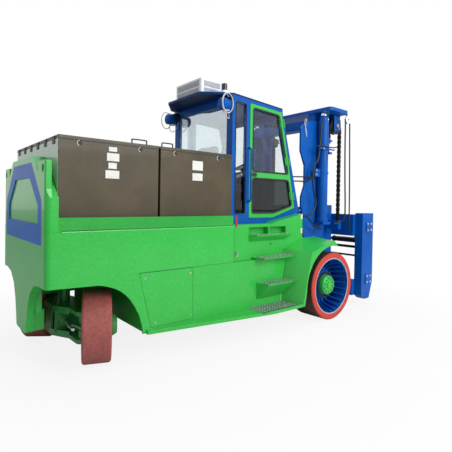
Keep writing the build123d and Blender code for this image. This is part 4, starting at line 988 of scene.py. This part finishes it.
@dataclass
class CabSide(Part):
    """Gaskets, handle, lamps, mirrors and cables of one side of the cab."""

    upper: Pairs = ((-1095, 2810), (-600, 2785), (-398, 1990), (-1095, 1990))
    lower: Pairs = ((-1095, 1910), (-395, 1910), (-310, 1552), (-690, 1450), (-1095, 1450))
    quarter: Pairs = ((-1390, 1450), (-1390, 2840), (-1215, 2830), (-1215, 1450))
    mirrors: Pairs = ((-600, 2690), (-575, 2420))
    face: float = 650.0
    rubber: float = 24 * MM

    def gasket(self, corners: Pairs, reach: float, share: float = 1.0) -> Surface:
        """Rubber round one light: its outline, a little larger than the opening, with a crowned section."""
        flat = inset(rounded(places([(x, 0, z) for x, z in corners])[:, [0, 2]], reach, 6), -6 * MM)
        depth = -self.side.value * 7 * MM
        return border(flat, self.rubber * share, self.out * self.face * MM, (1, 0, 0), (0, 0, 1), depth)

    def lamp(self) -> None:
        """Dished back, frosted lens and bracket of the work lamp, with its coiled white cables."""
        t = np.linspace(0, np.pi / 2, 9)
        dome = np.stack([-34 * np.cos(t), 75 * np.sin(t)], axis=1).tolist() + [[4, 76.5], [4, 0]]
        self.put("lamp_back", self.lathe(dome, (-1596, 615, 2780), (1, 0, 0), 40, False), "blue")
        lens = ((0, 0), (0, 46), (14, 42), (18, 0))
        self.put("lamp_lens", self.lathe(lens, (-1521, 615, 2712), (0, 0, -1), 32, False), "lens")
        self.put("lamp_bracket", [self.block((-1530, 530, 2750), (-1450, 540, 2860), 3),
                                  self.block((-1530, 530, 2850), (-1450, 690, 2862), 3)], "black_paint")
        count = 60
        turn = np.linspace(0.6 * np.pi, 4.3 * np.pi, count)
        share = np.arange(count) / count
        reach = 1 - 0.05 * share
        wide, high = 82 * reach, 122 * reach
        coil = np.stack([-1570 + wide * np.cos(turn), 696 + 16 * share, 2775 + high * np.sin(turn)], axis=1)
        lead = [coil[0], (-1500, 640, 2870), (-1470, 600, 2890), (-1455, 560, 2900)]
        loose = [(-1560, 620, 2707), (-1545, 640, 2640), (-1500, 640, 2610), (-1460, 600, 2650), (-1450, 560, 2750)]
        self.put("lamp_cables", [tube(self.mm(*coil), 5 * MM, 10), self.pipe(lead, 5, 10), self.pipe(loose, 4.5, 10)],
                 "cable")

    def build(self) -> None:
        """Dress one side of the cab."""
        door = f"door_{self.side.word}"
        self.put("door_gaskets", [self.gasket(self.upper, 45 * MM), self.gasket(self.lower, 45 * MM)], "gasket", door)
        self.put("quarter_gasket", self.gasket(self.quarter, 20 * MM, 0.45), "gasket")
        self.put("door_pull", self.block((-1122, 650, 1926), (-1030, 668, 1976), 5), "black_plastic", door)
        self.put("roof_lip", self.band((-1446, 650, 2925), (-545, 650, 2876), 16, 5), "navy")
        self.lamp()
        tilt = turn_matrix((0, 1, 0), math.radians(16))
        parts = [self.block((x - 36, 585, z - 55), (x + 36, 555, z + 55), 8, 14).turned(tilt, self.point(x, 570, z))
                 for x, z in self.mirrors]
        parts += [self.bar((x + 20, 570, z), (x + 110, 590, z + 10), 7) for x, z in self.mirrors]
        self.put("cab_mirrors", parts, "black_plastic")


@dataclass
class Steps(Part):
    """Checker treads on the steps and the running board of one side; each has X from and to, Y from and to, and Z."""

    treads: Quads = (
        (-1235, -570, 800, 892, 1190), (-1190, -625, 800, 977, 912), (-1140, -655, 850, 1012, 592),
        (-1330, -700, 850, 1134, 307))
    pitch: float = 44.0
    thick: float = 1.5
    lozenge: Pairs = ((-18, 0), (0, -7.5), (18, 0), (0, 7.5))

    def build(self) -> None:
        """Each tread is a thin plate with rows of raised lozenges that turn from one to the next."""
        pieces, studs = [], []
        for x0, x1, y0, y1, z in self.treads:
            pieces.append(self.block((x0, y0, z), (x1, y1, z + self.thick), 0.5))
            xs, ys = np.meshgrid(np.arange(x0 + 20, x1 - 14, self.pitch), np.arange(y0 + 14, y1 - 10, self.pitch),
                                 indexing="ij")
            for share, tilt in ((0, math.radians(-45)), (1, math.radians(45))):
                pick = (np.indices(xs.shape).sum(axis=0) % 2) == share
                spots = self.mm(*np.stack([xs[pick], ys[pick], np.full(pick.sum(), z + self.thick)], axis=1))
                x_dir, y_dir = (math.cos(tilt), math.sin(tilt), 0), (-math.sin(tilt), math.cos(tilt), 0)
                stud = plate(np.array(self.lozenge) * MM, (0, 0, 0), x_dir, y_dir, 2 * MM, 0.7 * MM)
                studs.append(copies(stud, spots))
        self.put("tread_plates", pieces, "tread")
        # Near-white studs: boot wear and a painted highlight.
        self.put("tread_studs", studs, "stud")


@dataclass
class MastSide(Part):
    """Chains, hoses, pulleys and brackets of one side of the mast."""

    chain_y: float = 700.0
    barrel_x: float = 330.0
    link_pitch: float = 38.0
    leaf: float = 17.0
    pulley: Pairs = ((-14, 12), (-14, 62), (-8, 62), (-5, 50), (5, 50), (8, 62), (14, 62), (14, 12))
    band_ring: Pairs = ((0, 75), (0, 84), (26, 84), (26, 75))
    foot: Pairs = ((0, 60), (0, 86), (40, 88), (52, 76), (52, 60))
    gland: Pairs = ((0, 50.5), (0, 78), (30, 78), (36, 70), (36, 50.5))
    socket: Pairs = ((0, 51), (0, 64), (70, 64), (78, 60), (78, 51))

    def chain(self, x: float, low: float, high: float) -> Surface:
        """Leaf chain: stacks of rounded leaves, every second stack shifted by half a leaf, on cross pins."""
        heights = low + self.link_pitch * (np.arange(int((high - low) // self.link_pitch)) + 0.5)
        long, wide = self.link_pitch * 0.92 * MM, self.leaf * MM
        t = np.linspace(0, np.pi, 5)
        top = np.stack([np.cos(t) * wide, long / 2 + np.sin(t) * wide * 0.6], axis=1)
        leaf = plate(np.concatenate([top, -top]), (0, 2.5 * MM, 0), (1, 0, 0), (0, 0, 1), 5 * MM, 0.8 * MM)
        y = self.chain_y * self.side.value
        parts = [copies(leaf, places([(x, y + off, z) for off in offsets for z in heights[share::2]]))
                 for offsets, share in (((-24, -12, 0, 12, 24), 0), ((-18, -6, 6, 18), 1))]
        pin = rod((0, -31 * MM, 0), (0, 31 * MM, 0), 7 * MM, 1 * MM, 10)
        ends = np.append(heights - self.link_pitch / 2, heights[-1] + self.link_pitch / 2)
        return joined(parts + [copies(pin, places([(x, y, z) for z in ends]))])

    def build(self) -> None:
        """Build one side of the mast."""
        y, x = self.chain_y, self.barrel_x
        front = self.put("front_chain", self.chain(740, 1330, 2800), "chain", "mast_inner")
        tuple(self.point(740, y, 2800))
        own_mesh(front)
        rear = self.put("rear_chain", self.chain(460, 2600, 2800), "chain", None)
        self.bend(rear, "mast_outer", "mast_inner", (460, y, 2600), (460, y, 2800))
        if self.side is Side.LEFT:
            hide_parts("chain_front")
            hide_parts("chain_rear")
        down = (0, 0, -1)
        nuts = [self.heads([(460, y, 2590)], down, 34, 22), self.heads([(460, y, 2520)], down, 34, 18)]
        self.put("chain_anchor", [self.bar((460, y, 2500), (460, y, 2604), 13), *nuts], "zinc", "mast_outer")
        self.put("anchor_shelf", [self.block((405, 668, 2540), (505, 742, 2562), 3),
                                  self.block((395, 640, 2440), (415, 742, 2562), 3)], "blue", "mast_outer")
        cheek = rounded(places([(528, 0, 2700), (690, 0, 2740), (690, 0, 2905), (520, 0, 2905)])[:, [0, 2]], 26 * MM)
        cheek = plate(cheek, self.out * 742 * MM, (1, 0, 0), (0, 0, 1), -self.side.value * 14 * MM, 3 * MM)
        self.put("sheave_cheek", cheek, "blue", "mast_inner")
        self.put("rod_socket", self.lathe(self.socket, (x, y, 2833), (0, 0, 1), 40), "blue", "mast_inner")
        self.put("sheave_pin", [self.bar((600, 740, 2800), (600, 772, 2800), 30, 3),
                                self.heads([(640, 756, 2760)], self.out, 22, 12)], "zinc", "mast_inner")
        self.build_hoses()
        self.build_brackets()

    def build_hoses(self) -> None:
        """Hoses clipped to the outer column, the reeved pair at the crosshead and the pipes from the cab."""
        y = 735
        column = [(240, y, 2820), (215, y, 2600), (200, y, 2440), (160, y, 2240), (75, y, 2140), (50, y, 1930),
                  (78, y, 1760), (125, y, 1630), (97, y, 1510), (-8, y, 1422), (-189, y, 1409)]
        lower = [(-120, y, 1408), (-53, y, 1385), (60, y, 1300), (115, y, 1258), (200, y, 1226), (286, y, 1212)]
        pipes = [self.pipe([(-290, 610, z), (-150, 640, z + 6), (0, 660, z + 10), (139, 668, 1990)], 10)
                 for z in (1968, 1905)]
        for name, shape, start, end in (("column_hose", self.pipe(column, 13), (-190, y, 1405), (110, y, 1640)),
                                        ("lower_hose", self.pipe(lower, 12), (-120, y, 1405), (200, y, 1226)),
                                        ("cab_pipes", pipes, (-280, 620, 1940), (130, 665, 1990))):
            self.bend(self.put(name, shape, "hose", None), "chassis", "mast_outer", start, end)
        self.put("mast_wires", [self.pipe([(-20 + shift, 632, 2831), (-44 + shift, 640, 2750), (-6 - shift, 644, 2660),
                                           (14, 632, 2570)], 3.5) for shift in (0, 24)], "cable", "mast_outer")
        wheel = self.lathe(self.pulley, (625, 918, 2865), (0, 1, 0), 40)
        self.put("hose_pulley", wheel, "white_plastic", "mast_inner")
        self.put("pulley_hanger", [self.block((600, 898, 2850), (650, 906, 2950), 3),
                                   self.bar((625, 900, 2865), (625, 940, 2865), 11)], "blue", "mast_inner")
        y = 918
        still = self.pipe([(570, y, 2870), (568, y, 2780), (575, y, 2300), (590, y, 1900), (606, y, 1560),
                           (610, 905, 1380), (570, 850, 1310), (500, 800, 1290)], 11)
        run = self.put("hose_still", still, "hose", None)
        self.bend(run, "mast_outer", "mast_inner", (580, y, 1300), (580, y, 2800))
        moving = self.pipe([(680, y, 2870), (684, y, 2780), (700, y, 2300), (715, y, 1800), (730, 912, 1400),
                            (755, 890, 1240), (800, 870, 1160)], 10)
        run = self.put("hose_moving", moving, "hose", "mast_inner")
        tuple(self.point(684, y, 2870))
        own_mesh(run)

    def build_brackets(self) -> None:
        """Bands, foot and gland on the lift barrel, the lug and the clamp bar with its hose and bolts."""
        x, y, up = self.barrel_x, self.chain_y, (0, 0, 1)
        rings = ((self.band_ring, 2395), (self.band_ring, 2040), (self.foot, 1320), (self.gland, 2796))
        parts = [self.lathe(ring, (x, y, z), up) for ring, z in rings]
        parts += [self.block((136, 690, 1992), (262, 710, 2110), 4), self.block((120, 772, 2396), (500, 786, 2418), 3)]
        self.put("barrel_bands", parts, "blue", "mast_outer")
        self.put("clamp_hose", self.pipe([(60, 778, 2430), (200, 778, 2440), (380, 790, 2436), (520, 778, 2452),
                                          (600, 760, 2470)], 9), "hose", "mast_outer")
        self.put("bracket_bolts", self.heads([(160, 711, 2085), (160, 711, 2020), (230, 787, 2407), (430, 787, 2407)],
                                             self.out, 20, 10), "zinc", "mast_outer")


@dataclass
class CarriageEnd(Part):
    """Bolted wear blocks and the shift cylinder on one end plate of the carriage."""

    blocks: Pairs = ((1150, 1230), (1150, 405))
    half: float = 78.0
    thick: float = 14.0
    bolt_off: float = 48.0
    sleeve: Pairs = ((0, 22), (0, 40), (8, 43), (430, 43), (438, 40), (438, 22))
    gland: Pairs = ((0, 22), (0, 48), (34, 48), (34, 22))

    def build(self) -> None:
        """Each block has four heads near its corners."""
        face = float(corner_box("carriage_plates")[1][1]) / MM
        h, d, top = self.half, self.bolt_off, face + self.thick
        sleeve = self.lathe(self.sleeve, (1090, 860, 1010), -self.out, 28)
        self.put("shift_cylinder", sleeve, "black_paint", "carriage")
        self.put("shift_gland", self.lathe(self.gland, (1090, 422, 1010), -self.out, 28), "blue", "carriage")
        self.put("shift_hose", self.pipe([(905, 860, 1380), (960, 850, 1300), (1010, 835, 1200), (1060, 815, 1120),
                                          (1090, 790, 1056)], 7), "cable", "carriage")
        self.put("carriage_pads", [self.block((x - h, face, z - h), (x + h, top, z + h), 4) for x, z in self.blocks],
                 "blue", "carriage")
        spots = [(x + dx, top, z + dz) for x, z in self.blocks for dx in (-d, d) for dz in (-d, d)]
        self.put("carriage_pad_bolts", self.heads(spots, self.out, 26, 14), "zinc", "carriage")


@dataclass
class DriverSeat(Part):
    """Cushions of the driver's seat, swollen by a short cloth run, on a plain black base."""

    voxel: float = 6 * MM
    pressure: float = 4.0
    frames: int = 20
    most: float = 16 * MM
    seam: float = 5 * MM
    seam_depth: float = 5 * MM

    def cushion(self, name: str, shape: Surface, seams: Sequence[tuple[Array, float]]) -> None:
        """Remesh the shape, blow it up with Cloth, cap how far each point goes, refine it and pull in its seams."""
        piece = add_piece(name, shape, "cloth", "chassis", smooth_angle=180.0)
        bpy.context.view_layer.objects.active = piece
        remesh = piece.modifiers.new("even skin", "REMESH")
        remesh.mode = "VOXEL"
        remesh.voxel_size = self.voxel * 1
        self.apply(piece)
        self.swell(piece)
        piece.modifiers.new("finer", "SUBSURF").levels = 1
        self.apply(piece)
        self.sew(piece, seams)
        piece.data.polygons.foreach_set("use_smooth", np.ones(len(piece.data.polygons), bool))

    def swell(self, piece: Piece) -> None:
        """Run Cloth with inner pressure and no gravity, then move each point by no more than `most`."""
        count = len(piece.data.vertices)
        before = np.empty(count * 3)
        piece.data.vertices.foreach_get("co", before)
        cloth = piece.modifiers.new("swell", "CLOTH")
        cloth.settings.use_pressure = True
        cloth.settings.uniform_pressure_force = self.pressure
        cloth.settings.effector_weights.gravity = 0
        cloth.point_cache.frame_end = self.frames
        scene = bpy.context.scene
        for step in range(1, self.frames + 1):
            scene.frame_set(step)
        held = piece.evaluated_get(bpy.context.evaluated_depsgraph_get()).to_mesh()
        after = np.empty(count * 3)
        held.vertices.foreach_get("co", after)
        piece.modifiers.remove(cloth)
        shift = (after - before).reshape(-1, 3)
        reach = np.linalg.norm(shift, axis=1, keepdims=True)
        shift *= np.minimum(1, self.most / np.maximum(reach, 1e-9))
        piece.data.vertices.foreach_set("co", (before.reshape(-1, 3) + shift).ravel())
        piece.data.update()
        scene.frame_set(1)

    def sew(self, piece: Piece, seams: Sequence[tuple[Array, float]]) -> None:
        """Pull the skin in along each seam plane, by depth times exp(-(distance / width)^2) against the normal."""
        count = len(piece.data.vertices)
        points, normals = np.empty(count * 3), np.empty(count * 3)
        piece.data.vertices.foreach_get("co", points)
        piece.data.vertices.foreach_get("normal", normals)
        points, normals = points.reshape(-1, 3), normals.reshape(-1, 3)
        fall = sum(np.exp(-((points @ direction - offset) / self.seam) ** 2) for direction, offset in seams)
        points = points - normals * self.seam_depth * np.minimum(fall, 1)[:, None]
        piece.data.vertices.foreach_set("co", points.ravel())
        piece.data.update()

    def apply(self, piece: Piece) -> None:
        """Turn the evaluated piece into its mesh, so that no modifier is left on it."""
        result = bpy.data.meshes.new_from_object(piece.evaluated_get(bpy.context.evaluated_depsgraph_get()))
        piece.modifiers.clear()
        old = piece.data
        piece.data = result
        bpy.data.meshes.remove(old)

    def build(self) -> None:
        """Base, seat cushion and back cushion in place of the plain CAD seat."""
        base = joined([self.block((-1240, -165, 1380), (-890, 165, 1700), 10, 20),
                       self.block((-1290, -230, 1690), (-815, 230, 1724), 8, 30)])
        stand = add_piece("seat_base", base, "black_plastic", "chassis")
        x_dir, y_dir, z_dir = np.eye(3)
        pad = self.block((-1280, -232, 1740), (-820, 232, 1832), 20, 60)
        self.cushion("seat_cushion", pad, ((y_dir, -0.13), (y_dir, 0.13), (z_dir, 1.800),
                                           (x_dir, self.point(-1130, 0, 0)[0])))
        outline = rounded(np.array([(-215, 0), (215, 0), (205, 500), (-205, 500)]) * MM, 70 * MM, 6)
        lean = math.radians(7)
        up = np.array([-math.sin(lean), 0, math.cos(lean)])
        foot, face = self.point(-1222, 0, 1862), np.cross(y_dir, up)
        self.cushion("seat_back", plate(outline, foot, y_dir, up, -0.085, 24 * MM),
                     ((y_dir, -0.12), (y_dir, 0.12), (up, foot @ up + 0.17), (face, foot @ face - 0.030)))
        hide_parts("seat")


@dataclass
class Stage:
    """Floor, lights and the camera at the photograph's viewpoint."""

    camera_place: tuple[float, float, float] = (-3.367, -4.2505, 1.586)
    right: tuple[float, float, float] = (0.76679, -0.64168, 0.01658)
    down: tuple[float, float, float] = (0.00333, -0.02185, -0.99976)
    ahead: tuple[float, float, float] = (0.64189, 0.76666, -0.01462)
    focal_px: float = 385.9
    image_px: int = 452
    centre_y_px: float = 208.0
    sensor_mm: float = 36.0

    def build(self) -> None:
        """Build the stage."""
        self.set_camera()
        self.lay_floor()
        self.hang_lights()
        bpy.context.scene.view_settings.view_transform = "Standard"

    def set_camera(self) -> None:
        """The camera's axes are the picture's right, up and backwards directions."""
        data = bpy.data.cameras.new("camera")
        data.sensor_width = self.sensor_mm
        data.lens = self.focal_px / self.image_px * self.sensor_mm
        data.shift_y = (self.centre_y_px - self.image_px / 2) / self.image_px
        data.clip_end = 200
        camera = bpy.data.objects.new("camera", data)
        turn = np.stack([self.right, -np.array(self.down), -np.array(self.ahead)], axis=1)
        camera.matrix_world = Matrix.Translation(Vector(self.camera_place)) @ Matrix(turn.tolist()).to_4x4()
        bpy.context.scene.collection.objects.link(camera)
        bpy.context.scene.camera = camera

    def lay_floor(self) -> None:
        """A wide pale floor that keeps the shadow near the machine and reads as white to the camera further out."""
        material, tree, place = new_tree("pale floor")
        diffuse = add_node(tree, "BsdfDiffuse", Color=(0.80, 0.80, 0.80, 1))
        white = add_node(tree, "Emission", Color=(1, 1, 1, 1), Strength=1.0)
        reach = add_node(tree, "VectorMath", {0: place}, operation="LENGTH")
        far = ranged(tree, reach.outputs["Value"], 2.2, 4.6, 0.86, 1.0, interpolation_type="SMOOTHSTEP")
        rays = add_node(tree, "LightPath")
        seen = add_node(tree, "Math", {0: rays.outputs["Is Camera Ray"], 1: far}, operation="MULTIPLY")
        mix = add_node(tree, "MixShader", {0: seen.outputs[0], 1: diffuse.outputs[0], 2: white.outputs[0]})
        add_node(tree, "OutputMaterial", {"Surface": mix.outputs[0]})
        mesh = bpy.data.meshes.new("floor")
        half = 60.0
        mesh.from_pydata([(-half, -half, 0), (half, -half, 0), (half, half, 0), (-half, half, 0)], [], [(0, 1, 2, 3)])
        mesh.materials.append(material)
        floor = bpy.data.objects.new("floor", mesh)
        bpy.context.scene.collection.objects.link(floor)

    def hang_lights(self) -> None:
        """An even white sky, a broad key from the machine's right and a fill from above."""
        world = bpy.data.worlds.new("sky")
        world.use_nodes = True
        tree = world.node_tree
        tree.nodes.clear()
        rays = add_node(tree, "LightPath")
        soft = add_node(tree, "Background", Color=(0.93, 0.96, 1.0, 1), Strength=0.42)
        white = add_node(tree, "Background", Color=(1, 1, 1, 1), Strength=1.0)
        seen, gloss, through = (rays.outputs[f"Is {kind} Ray"] for kind in ("Camera", "Glossy", "Transmission"))
        add = add_node(tree, "Math", {0: seen, 1: gloss}, operation="MAXIMUM")
        more = add_node(tree, "Math", {0: add.outputs[0], 1: through}, operation="MAXIMUM")
        mix = add_node(tree, "MixShader", {0: more.outputs[0], 1: soft.outputs[0], 2: white.outputs[0]})
        tree.links.new(mix.outputs[0], tree.nodes.new("ShaderNodeOutputWorld").inputs[0])
        bpy.context.scene.world = world
        for name, place, target, power, size in (("key", (1.5, -9.0, 5.5), (-0.3, 0, 1.2), 640.0, 5.0),
                                                 ("top", (0.0, 0.0, 9.0), (0, 0, 1.0), 220.0, 7.0)):
            data = bpy.data.lights.new(name, "AREA")
            data.energy = power
            data.size = size
            lamp = bpy.data.objects.new(name, data)
            lamp.location = place
            lamp.rotation_euler = (Vector(target) - Vector(place)).to_track_quat("-Z", "Y").to_euler()
            bpy.context.scene.collection.objects.link(lamp)


def main() -> None:
    """Build every sub-assembly in order."""
    logging.basicConfig(level=logging.INFO, format="%(name)s %(message)s")
    Stage().build()
    CadDress().build()
    for side in Side:
        for kind in (FrontWheel, RearWheel, BodySide, Batteries, CabSide, Steps, MastSide, CarriageEnd):
            kind(side).build()
    RoofUnit().build()
    DriverSeat().build()


if __name__ == "__main__":
    main()
